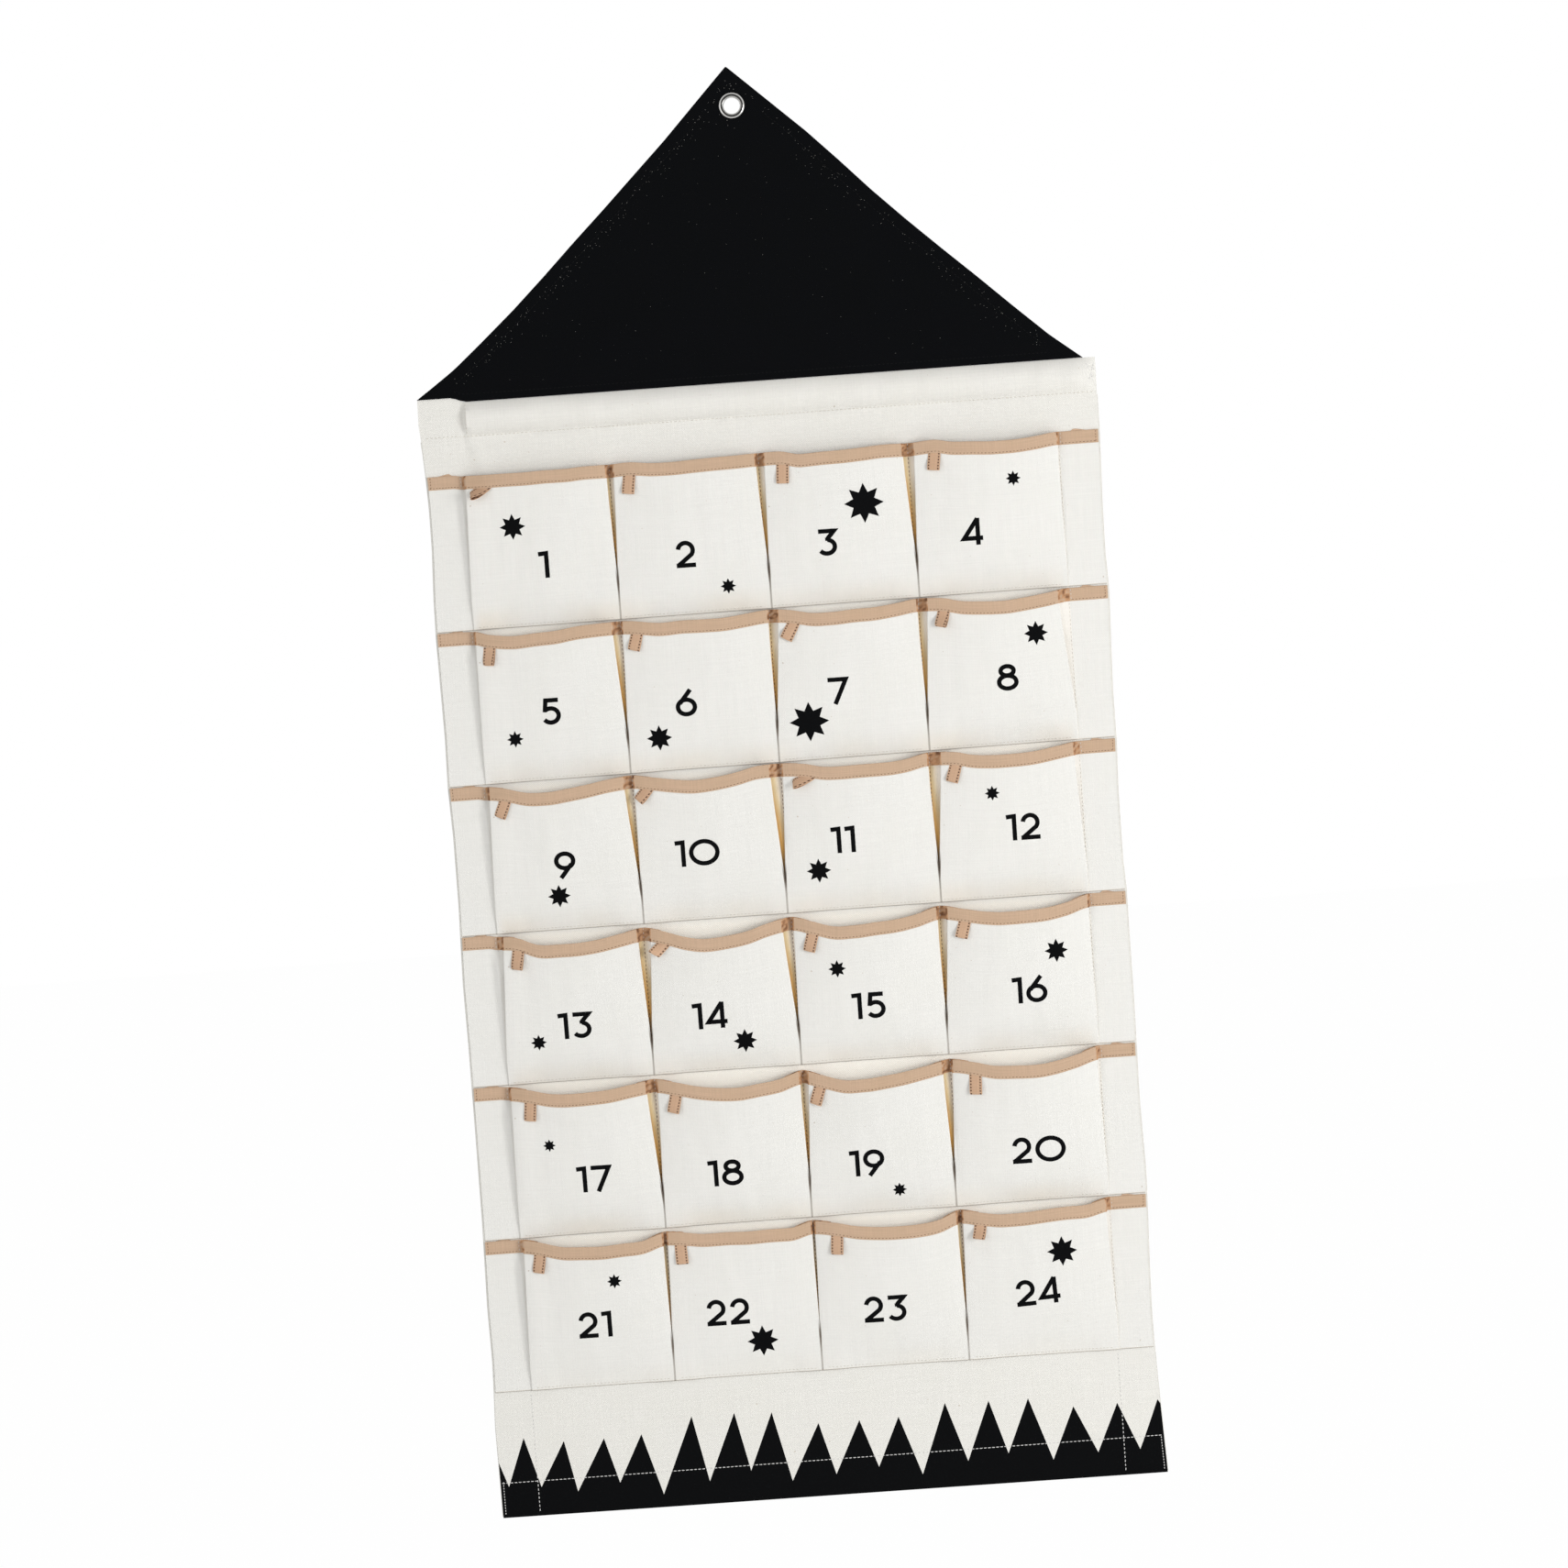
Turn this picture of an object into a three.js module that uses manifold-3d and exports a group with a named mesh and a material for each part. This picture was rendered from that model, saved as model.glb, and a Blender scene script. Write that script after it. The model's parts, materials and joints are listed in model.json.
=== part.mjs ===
// Pocket advent calendar: a black canvas roof with one eyelet, and a cream canvas panel that hangs from it
// with six pleated pocket strips, their tape bindings and twenty-four ribbon tabs.
// Lengths are in millimetres. X runs to the viewer's right, Y towards the wall and Z up.
// The origin is the centre of the eyelet's hole, half way through the roof's two layers.

import * as THREE from "three";
import { mergeVertices } from "three/addons/utils/BufferGeometryUtils.js";
import Module from "manifold-3d";

const wasm = await Module();
wasm.setup();

// Layout of the panel
const rows = 6;
const pocketsPerRow = 4;
const pocketPitch = 115;
const rowPitch = 118.6;
const sideMargin = 30;
const bandAboveRows = 56;
const bandBelowRows = 100.4;

// Cloth, tape and the running gap between neighbouring layers
const panelCloth = 0.8;
const stripCloth = 0.7;
const roofCloth = 0.8;
const tape = 0.6;
const layerGap = 0.3;

// Hems and the rod's channel at the top of the panel
const sideHem = 30;
const bottomHem = 30;
const channelHeight = 25;
const channelStop = 37;
const seamNeck = 2.5;
const rodRadius = 5.5;
const rodDrop = 13;
const rodPlay = 3;
const rodEndCover = 7;

// Roof
const roofHeight = 239;
const roofCornerStep = 6;
const roofEdgeHollow = 6;
const roofApexWidth = 6;

// Eyelet and its washer
const eyeletDrop = 28;
const eyeletHole = 12.5;
const eyeletRim = 20;
const eyeletMetal = 0.4;
const eyeletDome = 1.4;
const washerMetal = 0.8;
const curlWidth = 1.6;

// Pocket strips, one to a row: how far a mouth stands open, how deep its edge sags, and the pleats beside each divider
const mouthBow = 14;
const deepestSag = 10;
const pleatDepth = 12.6;
const foldGapTop = 3.5;
const stripEndInset = 1;
const stripFootGap = 1;

// Bindings and tabs
const bindingHeight = 10;
const tabWidth = 9.7;
const tabLength = 13;
const tabInside = 1.6;

// Shares of the pocket pitch at which the front's bends stand, from divider to divider
const bendShares = [0, 0.22, 0.4, 0.6, 0.78, 1];

// Depth below the binding, as shares of the cloth there, at which a strip's sections are taken
const depthShares = [0, 0.18, 0.56, 1];

// A pocket's swell fades towards its foot by this power of the depth
const bellyPower = 1.5;

// Each pocket's sag, as a share of the deepest sag
const sagShares = [
  [0.15, 0.05, 0.37, 0.39],
  [0.5, 0.36, 0.55, 0.55],
  [0.76, 0.67, 0.58, 0.62],
  [0.8, 1, 0.94, 0.78],
  [0.76, 1, 1, 0.99],
  [0.87, 0.32, 0.78, 0.4],
];

// A taut edge stands this share less far out than a slack one
const tautShare = 0.3;

// Each tab's place, as a share of the pitch from the divider on its left
const tabPlaceShares = [
  [0.13, 0.11, 0.14, 0.16],
  [0.1, 0.09, 0.14, 0.15],
  [0.12, 0.08, 0.15, 0.16],
  [0.13, 0.11, 0.12, 0.15],
  [0.135, 0.12, 0.1, 0.15],
  [0.12, 0.08, 0.14, 0.11],
];

// How far each tab leans from upright, in degrees, its foot to the left, and its share of the full length
const tabLeans = [
  [10, 8, 8, 12],
  [8, 20, 35, 10],
  [18, 25, 40, 18],
  [8, 6, 20, 20],
  [6, 17, 20, 5],
  [9, -3, 5, 6],
];
const tabLengthShares = [
  [1, 1, 1, 1],
  [1, 1, 1, 0.75],
  [1, 0.65, 0.9, 1],
  [1, 0.95, 1, 1],
  [1, 1, 1, 1],
  [1, 1, 1, 0.7],
];

// Facets of the small round shapes
const roundFacets = 24;
const bendFacets = 6;

// Sizes that follow from the ones above
const panelWidth = pocketsPerRow * pocketPitch + 2 * sideMargin;
const panelHeight = bandAboveRows + rows * rowPitch + bandBelowRows;
const panelX = roofCornerStep / 2;
const seamZ = eyeletDrop - roofHeight;
const panelFront = -panelCloth / 2;
const seamNose = panelCloth;
const layerPitch = stripCloth + layerGap;
const stripOffset = layerGap + stripCloth / 2;
const tapeOffset = stripCloth / 2 + layerGap + tape / 2;
const stripInBindingY = panelFront - layerGap - tape - stripOffset;
const stripOnPanelY = panelFront - stripOffset;
const foldGapFoot = stripCloth / 2 + layerGap;

const materials = {
  blackCanvas: { color: 0x151618, roughness: 0.95, metalness: 0 },
  creamCanvas: { color: 0xefece3, roughness: 0.9, metalness: 0 },
  pocketCloth: { color: 0xf1efe8, roughness: 0.9, metalness: 0 },
  tanTape: { color: 0xd2a98a, roughness: 0.8, metalness: 0 },
  nickel: { color: 0xc4c4c6, roughness: 0.25, metalness: 1 },
  wood: { color: 0xd8b98c, roughness: 0.6, metalness: 0 },
};

function namedMesh(name, geometry, finish) {
  const mesh = new THREE.Mesh(geometry, new THREE.MeshStandardMaterial(materials[finish]));
  mesh.name = name;
  return mesh;
}

// Joining of closed geometries

function toSolid(geometry) {
  const bare = new THREE.BufferGeometry();
  bare.setAttribute("position", geometry.getAttribute("position"));
  bare.setIndex(geometry.getIndex());
  const merged = mergeVertices(bare, layerGap / 1000);
  return new wasm.Manifold(
    new wasm.Mesh({
      numProp: 3,
      vertProperties: merged.getAttribute("position").array,
      triVerts: new Uint32Array(merged.getIndex().array),
    }),
  );
}

function joined(geometries) {
  const solid = geometries.map(toSolid).reduce((sum, next) => sum.add(next));
  const mesh = solid.getMesh();
  const geometry = new THREE.BufferGeometry();
  geometry.setAttribute("position", new THREE.BufferAttribute(mesh.vertProperties, 3));
  geometry.setIndex(new THREE.BufferAttribute(mesh.triVerts, 1));
  return geometry;
}

// A box given by its lowest and highest corners
function boxBetween(low, high) {
  const size = new THREE.Vector3().subVectors(high, low);
  const middle = new THREE.Vector3().addVectors(low, high).divideScalar(2);
  return new THREE.BoxGeometry(size.x, size.y, size.z).translate(middle.x, middle.y, middle.z);
}

// A shape drawn in Y and Z and drawn out along X
function extrudeAlongX(shape, fromX, toX) {
  const geometry = new THREE.ExtrudeGeometry(shape, {
    depth: toX - fromX,
    bevelEnabled: false,
    curveSegments: bendFacets,
  });
  const turn = new THREE.Matrix4().makeBasis(
    new THREE.Vector3(0, 1, 0),
    new THREE.Vector3(0, 0, 1),
    new THREE.Vector3(1, 0, 0),
  );
  return geometry.applyMatrix4(turn).translate(fromX, 0, 0);
}

// A shape drawn in X and Z and drawn out towards the viewer from the plane at backY
function extrudeToFront(shape, backY, depth) {
  const geometry = new THREE.ExtrudeGeometry(shape, {
    depth,
    bevelEnabled: false,
    curveSegments: roundFacets,
  });
  const turn = new THREE.Matrix4().makeBasis(
    new THREE.Vector3(1, 0, 0),
    new THREE.Vector3(0, 0, 1),
    new THREE.Vector3(0, -1, 0),
  );
  return geometry.applyMatrix4(turn).translate(0, backY, 0);
}

// A closed skin over rings of points round a bent sheet. flatten gives a ring's outline as seen from where the
// rings start, with the sheet's length along its first axis. What runs back along that axis is split along the
// other diagonal, so that the two sides of a twisted sheet, and its neighbouring folds, stay parallel.
function loft(rings, flatten) {
  const count = rings[0].length;
  const positions = rings.flat().flatMap((point) => point.toArray());
  const along = rings[0].map((point) => flatten(point).x);
  const faces = [];
  for (let ring = 0; ring < rings.length - 1; ring += 1) {
    for (let k = 0; k < count; k += 1) {
      const after = (k + 1) % count;
      const here = ring * count + k;
      const next = ring * count + after;
      const runsBack = along[after] < along[k];
      faces.push(here, here + count, runsBack ? next + count : next);
      faces.push(next, runsBack ? here : here + count, next + count);
    }
  }
  const last = (rings.length - 1) * count;
  const cap = (ring) => THREE.ShapeUtils.triangulateShape(ring.map(flatten), []);
  cap(rings[0]).forEach(([a, b, c]) => faces.push(a, b, c));
  cap(rings[rings.length - 1]).forEach(([a, b, c]) => faces.push(last + a, last + c, last + b));
  const geometry = new THREE.BufferGeometry();
  geometry.setAttribute("position", new THREE.Float32BufferAttribute(positions, 3));
  geometry.setIndex(faces);
  return geometry;
}

// Roof: two canvas triangles with slightly hollow sloping edges, pierced for the eyelet

const barrelRadius = eyeletHole / 2 + eyeletMetal;
const clothHoleRadius = barrelRadius + layerGap;
const roofFootZ = seamZ + seamNose + layerGap;

function roofShape() {
  const halfWidth = (panelWidth - roofCornerStep) / 2;
  const halfApex = roofApexWidth / 2;
  const hollowX = (halfWidth + halfApex) / 2 - roofEdgeHollow;
  const hollowZ = (roofFootZ + eyeletDrop) / 2 - roofEdgeHollow;
  const shape = new THREE.Shape();
  shape.moveTo(-halfWidth, roofFootZ);
  shape.lineTo(halfWidth, roofFootZ);
  shape.quadraticCurveTo(hollowX, hollowZ, halfApex, eyeletDrop);
  shape.lineTo(-halfApex, eyeletDrop);
  shape.quadraticCurveTo(-hollowX, hollowZ, -halfWidth, roofFootZ);
  const hole = new THREE.Path();
  hole.absarc(0, 0, clothHoleRadius, 0, 2 * Math.PI, true);
  shape.holes.push(hole);
  return shape;
}

function roofFront() {
  return namedMesh("roof_front", extrudeToFront(roofShape(), -layerGap / 2, roofCloth), "blackCanvas");
}

function roofBack() {
  const backFace = layerGap / 2 + roofCloth;
  return namedMesh("roof_back", extrudeToFront(roofShape(), backFace, roofCloth), "blackCanvas");
}

// Eyelet: a domed flange in front, a barrel through the cloth, and a curl that holds the washer behind

const roofFace = layerGap / 2 + roofCloth;
const flangeY = roofFace + layerGap;
const washerBackY = flangeY + washerMetal;
const curlY = washerBackY + layerGap;

function ringOf(points) {
  return new THREE.LatheGeometry(points.map(([radius, y]) => new THREE.Vector2(radius, y)), roundFacets);
}

function eyelet() {
  const hole = eyeletHole / 2;
  const rim = eyeletRim / 2;
  const points = [
    [hole, curlY + eyeletMetal],
    [hole, -flangeY - eyeletDome / 2],
    [hole + eyeletDome / 2, -flangeY - eyeletDome],
    [rim - eyeletDome, -flangeY - eyeletDome],
    [rim - eyeletMetal, -flangeY - eyeletDome / 2],
    [rim, -flangeY],
    [barrelRadius, -flangeY],
    [barrelRadius, curlY],
    [barrelRadius + curlWidth, curlY],
    [barrelRadius + curlWidth, curlY + eyeletMetal],
    [hole, curlY + eyeletMetal],
  ];
  return namedMesh("eyelet", ringOf(points), "nickel");
}

function eyeletWasher() {
  const inner = barrelRadius + layerGap;
  const rim = eyeletRim / 2;
  const points = [
    [inner, washerBackY],
    [inner, flangeY],
    [rim, flangeY],
    [rim, washerBackY - eyeletMetal],
    [rim - eyeletMetal, washerBackY],
    [inner, washerBackY],
  ];
  return namedMesh("eyelet_washer", ringOf(points), "nickel");
}

// Back panel: the sheet, the channel that its folded top makes round the rod, and its hems
// Its own frame has X zero on the panel's centre line and Z zero at the roof seam.

const channelInside = rodRadius + layerGap;
const channelOutside = channelInside + panelCloth;

// The angle at which a line from a point beside the rod's centre line touches a circle round the rod
function touchAngle(y, z, radius) {
  const distance = Math.hypot(y, z + rodDrop);
  return Math.atan2(z + rodDrop, y) - Math.sign(z + rodDrop) * Math.acos(radius / distance);
}

function channelShape() {
  const innerTop = -seamNeck - panelCloth;
  const innerFoot = panelCloth - channelHeight;
  const outerTopAngle = touchAngle(seamNose, -seamNeck, channelOutside);
  const outerFootAngle = touchAngle(seamNose, -channelHeight, channelOutside);
  const innerTopAngle = touchAngle(0, innerTop, channelInside);
  const innerFootAngle = touchAngle(0, innerFoot, channelInside);
  const shape = new THREE.Shape();
  shape.absarc(0, -rodDrop, channelOutside, outerFootAngle, outerTopAngle, false);
  shape.lineTo(seamNose, -seamNeck);
  shape.absarc(0, 0, seamNose, 0, Math.PI, false);
  shape.lineTo(-seamNose, -seamNeck);
  shape.absarc(0, -rodDrop, channelOutside, Math.PI - outerTopAngle, Math.PI - outerFootAngle, false);
  shape.lineTo(-seamNose, -channelHeight);
  shape.lineTo(seamNose, -channelHeight);
  const hole = new THREE.Path();
  hole.absarc(0, -rodDrop, channelInside, innerFootAngle, innerTopAngle, false);
  hole.lineTo(0, innerTop);
  hole.absarc(0, -rodDrop, channelInside, Math.PI - innerTopAngle, Math.PI - innerFootAngle, false);
  hole.lineTo(0, innerFoot);
  shape.holes.push(hole);
  return shape;
}

// The flat, empty end of the channel beyond the stop stitches
function flatChannelShape() {
  const shape = new THREE.Shape();
  shape.moveTo(seamNose, -channelHeight);
  shape.lineTo(seamNose, 0);
  shape.absarc(0, 0, seamNose, 0, Math.PI, false);
  shape.lineTo(-seamNose, -channelHeight);
  return shape;
}

function backPanel() {
  const half = panelWidth / 2;
  const stopX = channelStop - half;
  const backFace = panelCloth / 2;
  const hemBack = backFace + panelCloth;
  const hemTop = panelCloth - channelHeight;
  const hemBetween = (lowX, highX, highZ) =>
    boxBetween(new THREE.Vector3(lowX, 0, -panelHeight), new THREE.Vector3(highX, hemBack, highZ));
  const pieces = [
    boxBetween(new THREE.Vector3(-half, panelFront, -panelHeight), new THREE.Vector3(half, backFace, hemTop)),
    extrudeAlongX(channelShape(), stopX - panelCloth, half),
    extrudeAlongX(flatChannelShape(), -half, stopX),
    hemBetween(-half, sideHem - half, hemTop),
    hemBetween(half - sideHem, half, hemTop),
    hemBetween(-half, half, bottomHem - panelHeight),
  ];
  return namedMesh("back_panel", joined(pieces), "creamCanvas");
}

function hangingRod() {
  const left = channelStop - panelWidth / 2 + rodPlay;
  const right = panelWidth / 2 - rodEndCover - rodPlay;
  const geometry = new THREE.CylinderGeometry(rodRadius, rodRadius, right - left, roundFacets);
  const mesh = namedMesh("hanging_rod", geometry.rotateZ(Math.PI / 2), "wood");
  mesh.position.set((left + right) / 2, 0, -rodDrop);
  return mesh;
}

// Pocket cloth
// A row's strip is sewn down along each divider, and every solid of it runs from one seam to the next. A pocket's
// mouth leaves the panel at its dividers and swells between them. Beside each divider the cloth runs into the
// pocket, folds back and folds forwards again, so that the pocket can open.

// How much of the full swell stands at a share of the pitch, with straight cloth between the bends
function swellAt(share) {
  const next = bendShares.findIndex((value) => value >= share);
  if (next <= 0) return 0;
  const from = bendShares[next - 1];
  const part = (share - from) / (bendShares[next] - from);
  const low = Math.sin(Math.PI * from);
  const high = Math.sin(Math.PI * bendShares[next]);
  return low + (high - low) * part;
}

function pocketNumber(row, pocket) {
  return String(row * pocketsPerRow + pocket + 1).padStart(2, "0");
}

function rowTop(row) {
  return -bandAboveRows - row * rowPitch;
}

function dividerX(index) {
  return index * pocketPitch - (pocketsPerRow * pocketPitch) / 2;
}

function bowOf(row, pocket) {
  return mouthBow * (1 - tautShare * (1 - sagShares[row][pocket]));
}

// One bend of the cloth: its place across the panel, how far it stands out and its share of the pitch
function clothBend(pocket, offset, out) {
  return { x: dividerX(pocket) + offset, out, share: offset / pocketPitch };
}

// The bends of one pocket at a level; opened is the mouth's swell left there, and pressed is how far the
// inner pleats follow the front instead of lying on the panel
function pocketBends(row, pocket, opened, pressed, foldGap) {
  const bow = bowOf(row, pocket) * opened;
  const outAt = (offset) => bow * swellAt(offset / pocketPitch);
  const mirror = (offset) => pocketPitch - offset;
  const innerFold = pressed * outAt(pleatDepth);
  const outerFold = outAt(foldGap) + layerPitch;
  const leftSide = [
    [pleatDepth, innerFold],
    [pleatDepth, innerFold + layerPitch],
    [foldGap, outerFold],
    [foldGap, outerFold + layerPitch],
  ];
  const front = bendShares.slice(1, -1).map((share) => {
    return [share * pocketPitch, bow * swellAt(share) + 2 * layerPitch];
  });
  const rightSide = leftSide.map(([offset, out]) => [mirror(offset), out]).reverse();
  const bends = [...leftSide, ...front, ...rightSide];
  return bends.map(([offset, out]) => clothBend(pocket, offset, out));
}

// The flat cloth at a pocket's left (side -1) or right (side 1), from its seam inwards: a row's outer pockets
// run on to the panel's edge
function seamBends(pocket, side) {
  const outermost = side < 0 ? 0 : pocketsPerRow - 1;
  const seam = side < 0 ? 0 : pocketPitch;
  if (pocket !== outermost) return [clothBend(pocket, seam - (side * layerGap) / 2, 0)];
  const end = side * (panelWidth / 2 - stripEndInset);
  return [{ ...clothBend(pocket, seam, 0), x: end }, clothBend(pocket, seam, 0)];
}

// The two outlines of cloth of a given thickness along a line of points, with ends cut at right angles to X
function thicken(points, thickness) {
  const normals = points.slice(1).map((point, i) => {
    const along = new THREE.Vector2().subVectors(point, points[i]).normalize();
    return new THREE.Vector2(-along.y, along.x);
  });
  const mirrored = (normal) => new THREE.Vector2(-normal.x, normal.y);
  const offsets = points.map((point, i) => {
    const before = i > 0 ? normals[i - 1] : mirrored(normals[i]);
    const after = i < normals.length ? normals[i] : mirrored(before);
    const sum = new THREE.Vector2().addVectors(before, after);
    return sum.multiplyScalar(thickness / 2 / (1 + before.dot(after)));
  });
  return { points, offsets };
}

function clothLevel(row, pocket, level) {
  const bends = [
    ...seamBends(pocket, -1),
    ...pocketBends(row, pocket, level.opened, level.pressed, level.foldGap),
    ...seamBends(pocket, 1).reverse(),
  ];
  const line = bends.map(({ x, out }) => new THREE.Vector2(x, level.y - out));
  const { points, offsets } = thicken(line, stripCloth);
  const heights = bends.map(({ share }) => {
    return level.z - deepestSag * sagShares[row][pocket] * swellAt(share) * level.sagging;
  });
  const onSide = (i, side) =>
    new THREE.Vector3(points[i].x + side * offsets[i].x, points[i].y + side * offsets[i].y, heights[i]);
  const front = points.map((_, i) => onSide(i, -1));
  const back = points.map((_, i) => onSide(i, 1)).reverse();
  return [...front, ...back];
}

function pocketCloth(row, pocket) {
  const top = rowTop(row);
  const foot = rowTop(row + 1) + stripFootGap;
  const underBinding = top - bindingHeight - layerGap;
  const levelAt = (depth) => ({
    z: underBinding + (foot - underBinding) * depth,
    y: depth > 0 ? stripOnPanelY : stripInBindingY,
    opened: 1 - depth ** bellyPower,
    pressed: depth > 0 ? 0 : 1,
    foldGap: foldGapTop + (foldGapFoot - foldGapTop) * depth,
    sagging: 1 - depth,
  });
  const edge = { ...levelAt(0), z: top - tape - layerGap };
  const levels = [edge, ...depthShares.map(levelAt)];
  const rings = levels.map((level) => clothLevel(row, pocket, level));
  const geometry = loft(rings, (point) => new THREE.Vector2(point.x, point.y));
  return namedMesh(`pocket_cloth_${pocketNumber(row, pocket)}`, geometry, "pocketCloth");
}

// Bindings: tape folded over a strip's top edge, following its front and its pleats

function bindingStations(row) {
  const ends = panelWidth / 2 - stripEndInset;
  const single = { front: 0, back: 0, sag: 0 };
  const stations = [{ x: -ends, ...single }];
  for (let pocket = 0; pocket < pocketsPerRow; pocket += 1) {
    const bow = bowOf(row, pocket);
    const deep = deepestSag * sagShares[row][pocket];
    const station = (offset, backLift) => {
      const swell = swellAt(offset / pocketPitch);
      return {
        x: dividerX(pocket) + offset,
        front: bow * swell + 2 * layerPitch,
        back: bow * swell + backLift,
        sag: deep * swell,
      };
    };
    const besideFold = foldGapTop - tapeOffset;
    const pastPleat = pleatDepth + tapeOffset;
    stations.push({ x: dividerX(pocket), ...single });
    stations.push(station(besideFold, 0));
    stations.push(station(pastPleat, 0));
    bendShares.slice(1, -1).forEach((share) => stations.push(station(share * pocketPitch, 2 * layerPitch)));
    stations.push(station(pocketPitch - pastPleat, 0));
    stations.push(station(pocketPitch - besideFold, 0));
  }
  stations.push({ x: dividerX(pocketsPerRow), ...single });
  stations.push({ x: ends, ...single });
  return stations;
}

function binding(row) {
  const rings = bindingStations(row).map(({ x, front, back, sag }) => {
    const top = rowTop(row) - sag;
    const foot = top - bindingHeight;
    const frontY = stripInBindingY - tapeOffset - front;
    const backY = stripInBindingY + tapeOffset - back;
    const half = tape / 2;
    return [
      [frontY - half, foot],
      [frontY - half, top],
      [backY + half, top],
      [backY + half, foot],
      [backY - half, foot],
      [backY - half, top - tape],
      [frontY + half, top - tape],
      [frontY + half, foot],
    ].map(([y, z]) => new THREE.Vector3(x, y, z));
  });
  const geometry = loft(rings, (point) => new THREE.Vector2(point.z, point.y));
  return namedMesh(`binding_row_${row + 1}`, geometry, "tanTape");
}

// Tabs: a loop of ribbon that hangs from the binding's lower edge; its mesh is placed at its pivot, with X
// along the edge that it is sewn to

const tabHalfDepth = tabInside / 2 + tape;

function tabShape(length) {
  const inside = tabInside / 2;
  const bendZ = tabHalfDepth - length;
  const shape = new THREE.Shape();
  shape.absarc(0, bendZ, tabHalfDepth, Math.PI, 2 * Math.PI, false);
  shape.lineTo(tabHalfDepth, -layerGap);
  shape.lineTo(inside, -layerGap);
  shape.absarc(0, bendZ, inside, 2 * Math.PI, Math.PI, true);
  shape.lineTo(-inside, -layerGap);
  shape.lineTo(-tabHalfDepth, -layerGap);
  return shape;
}

function tab(row, pocket) {
  const firstBend = bendShares[1] * pocketPitch;
  const swell = swellAt(bendShares[1]);
  const along = new THREE.Vector3(
    firstBend,
    -bowOf(row, pocket) * swell,
    -deepestSag * sagShares[row][pocket] * swell,
  );
  const outward = new THREE.Vector3(along.y, -along.x, 0).normalize();
  const part = tabPlaceShares[row][pocket] / bendShares[1];
  const pivot = new THREE.Vector3(dividerX(pocket), stripInBindingY - 2 * layerPitch, rowTop(row) - bindingHeight)
    .addScaledVector(along, part)
    .addScaledVector(outward, stripCloth / 2 + layerGap + tabHalfDepth);
  const alongUnit = along.clone().normalize();
  const upward = new THREE.Vector3().crossVectors(alongUnit, outward.clone().negate());
  const roll = Math.asin(-alongUnit.z);
  const lean = THREE.MathUtils.degToRad(tabLeans[row][pocket]) - roll;
  const shear = new THREE.Matrix4().makeShear(0, 0, 0, 0, Math.tan(lean), 0);
  const length = tabLength * tabLengthShares[row][pocket];
  const geometry = extrudeAlongX(tabShape(length), -tabWidth / 2, tabWidth / 2).applyMatrix4(shear);
  const mesh = namedMesh(`tab_${pocketNumber(row, pocket)}`, geometry, "tanTape");
  mesh.quaternion.setFromRotationMatrix(
    new THREE.Matrix4().makeBasis(alongUnit, outward.clone().negate(), upward),
  );
  mesh.position.copy(pivot);
  return mesh;
}

// Assembly

const calendar = new THREE.Group();
calendar.add(roofFront(), roofBack(), eyelet(), eyeletWasher());

const panel = new THREE.Group();
panel.position.set(panelX, 0, seamZ);
panel.add(backPanel(), hangingRod());
for (let row = 0; row < rows; row += 1) {
  panel.add(binding(row));
  for (let pocket = 0; pocket < pocketsPerRow; pocket += 1) panel.add(pocketCloth(row, pocket), tab(row, pocket));
}
calendar.add(panel);

export default calendar;
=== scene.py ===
import functools
import json
import math
import random

import bpy
from bpy.props import FloatProperty, FloatVectorProperty, PointerProperty
from mathutils import Matrix, Vector, noise


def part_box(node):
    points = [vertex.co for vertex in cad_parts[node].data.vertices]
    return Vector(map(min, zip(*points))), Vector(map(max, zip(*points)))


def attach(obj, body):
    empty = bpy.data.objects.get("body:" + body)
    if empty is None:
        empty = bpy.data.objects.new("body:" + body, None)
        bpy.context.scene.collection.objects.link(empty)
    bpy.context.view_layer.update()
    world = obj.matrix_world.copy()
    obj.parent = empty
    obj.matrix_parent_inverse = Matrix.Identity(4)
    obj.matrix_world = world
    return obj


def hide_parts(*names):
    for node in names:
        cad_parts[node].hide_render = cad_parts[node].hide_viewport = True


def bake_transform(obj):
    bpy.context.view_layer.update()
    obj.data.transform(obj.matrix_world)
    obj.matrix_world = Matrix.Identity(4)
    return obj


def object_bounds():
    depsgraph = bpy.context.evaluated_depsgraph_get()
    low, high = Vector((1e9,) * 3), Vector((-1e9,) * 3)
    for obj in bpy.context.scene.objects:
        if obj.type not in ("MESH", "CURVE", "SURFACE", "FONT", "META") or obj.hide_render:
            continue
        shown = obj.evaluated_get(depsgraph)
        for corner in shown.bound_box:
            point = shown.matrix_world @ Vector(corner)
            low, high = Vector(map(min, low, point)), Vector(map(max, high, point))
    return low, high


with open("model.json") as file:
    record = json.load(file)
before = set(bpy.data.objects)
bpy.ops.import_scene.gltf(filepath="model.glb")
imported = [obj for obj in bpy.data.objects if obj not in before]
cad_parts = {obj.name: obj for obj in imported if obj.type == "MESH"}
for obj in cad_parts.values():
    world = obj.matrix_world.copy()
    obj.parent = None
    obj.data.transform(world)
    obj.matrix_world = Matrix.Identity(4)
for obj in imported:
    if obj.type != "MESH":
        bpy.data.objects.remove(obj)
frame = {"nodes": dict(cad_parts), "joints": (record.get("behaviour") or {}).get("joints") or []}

bl_info = {
    "name": "Pocket advent calendar",
    "version": (1, 0, 0),
    "blender": (4, 5, 0),
    "location": "3D View > Sidebar > Calendar",
    "description": "Dresses the hanging calendar's frame with its cloth, tape, ribbon, thread and print",
    "category": "Add Mesh",
}

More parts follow.
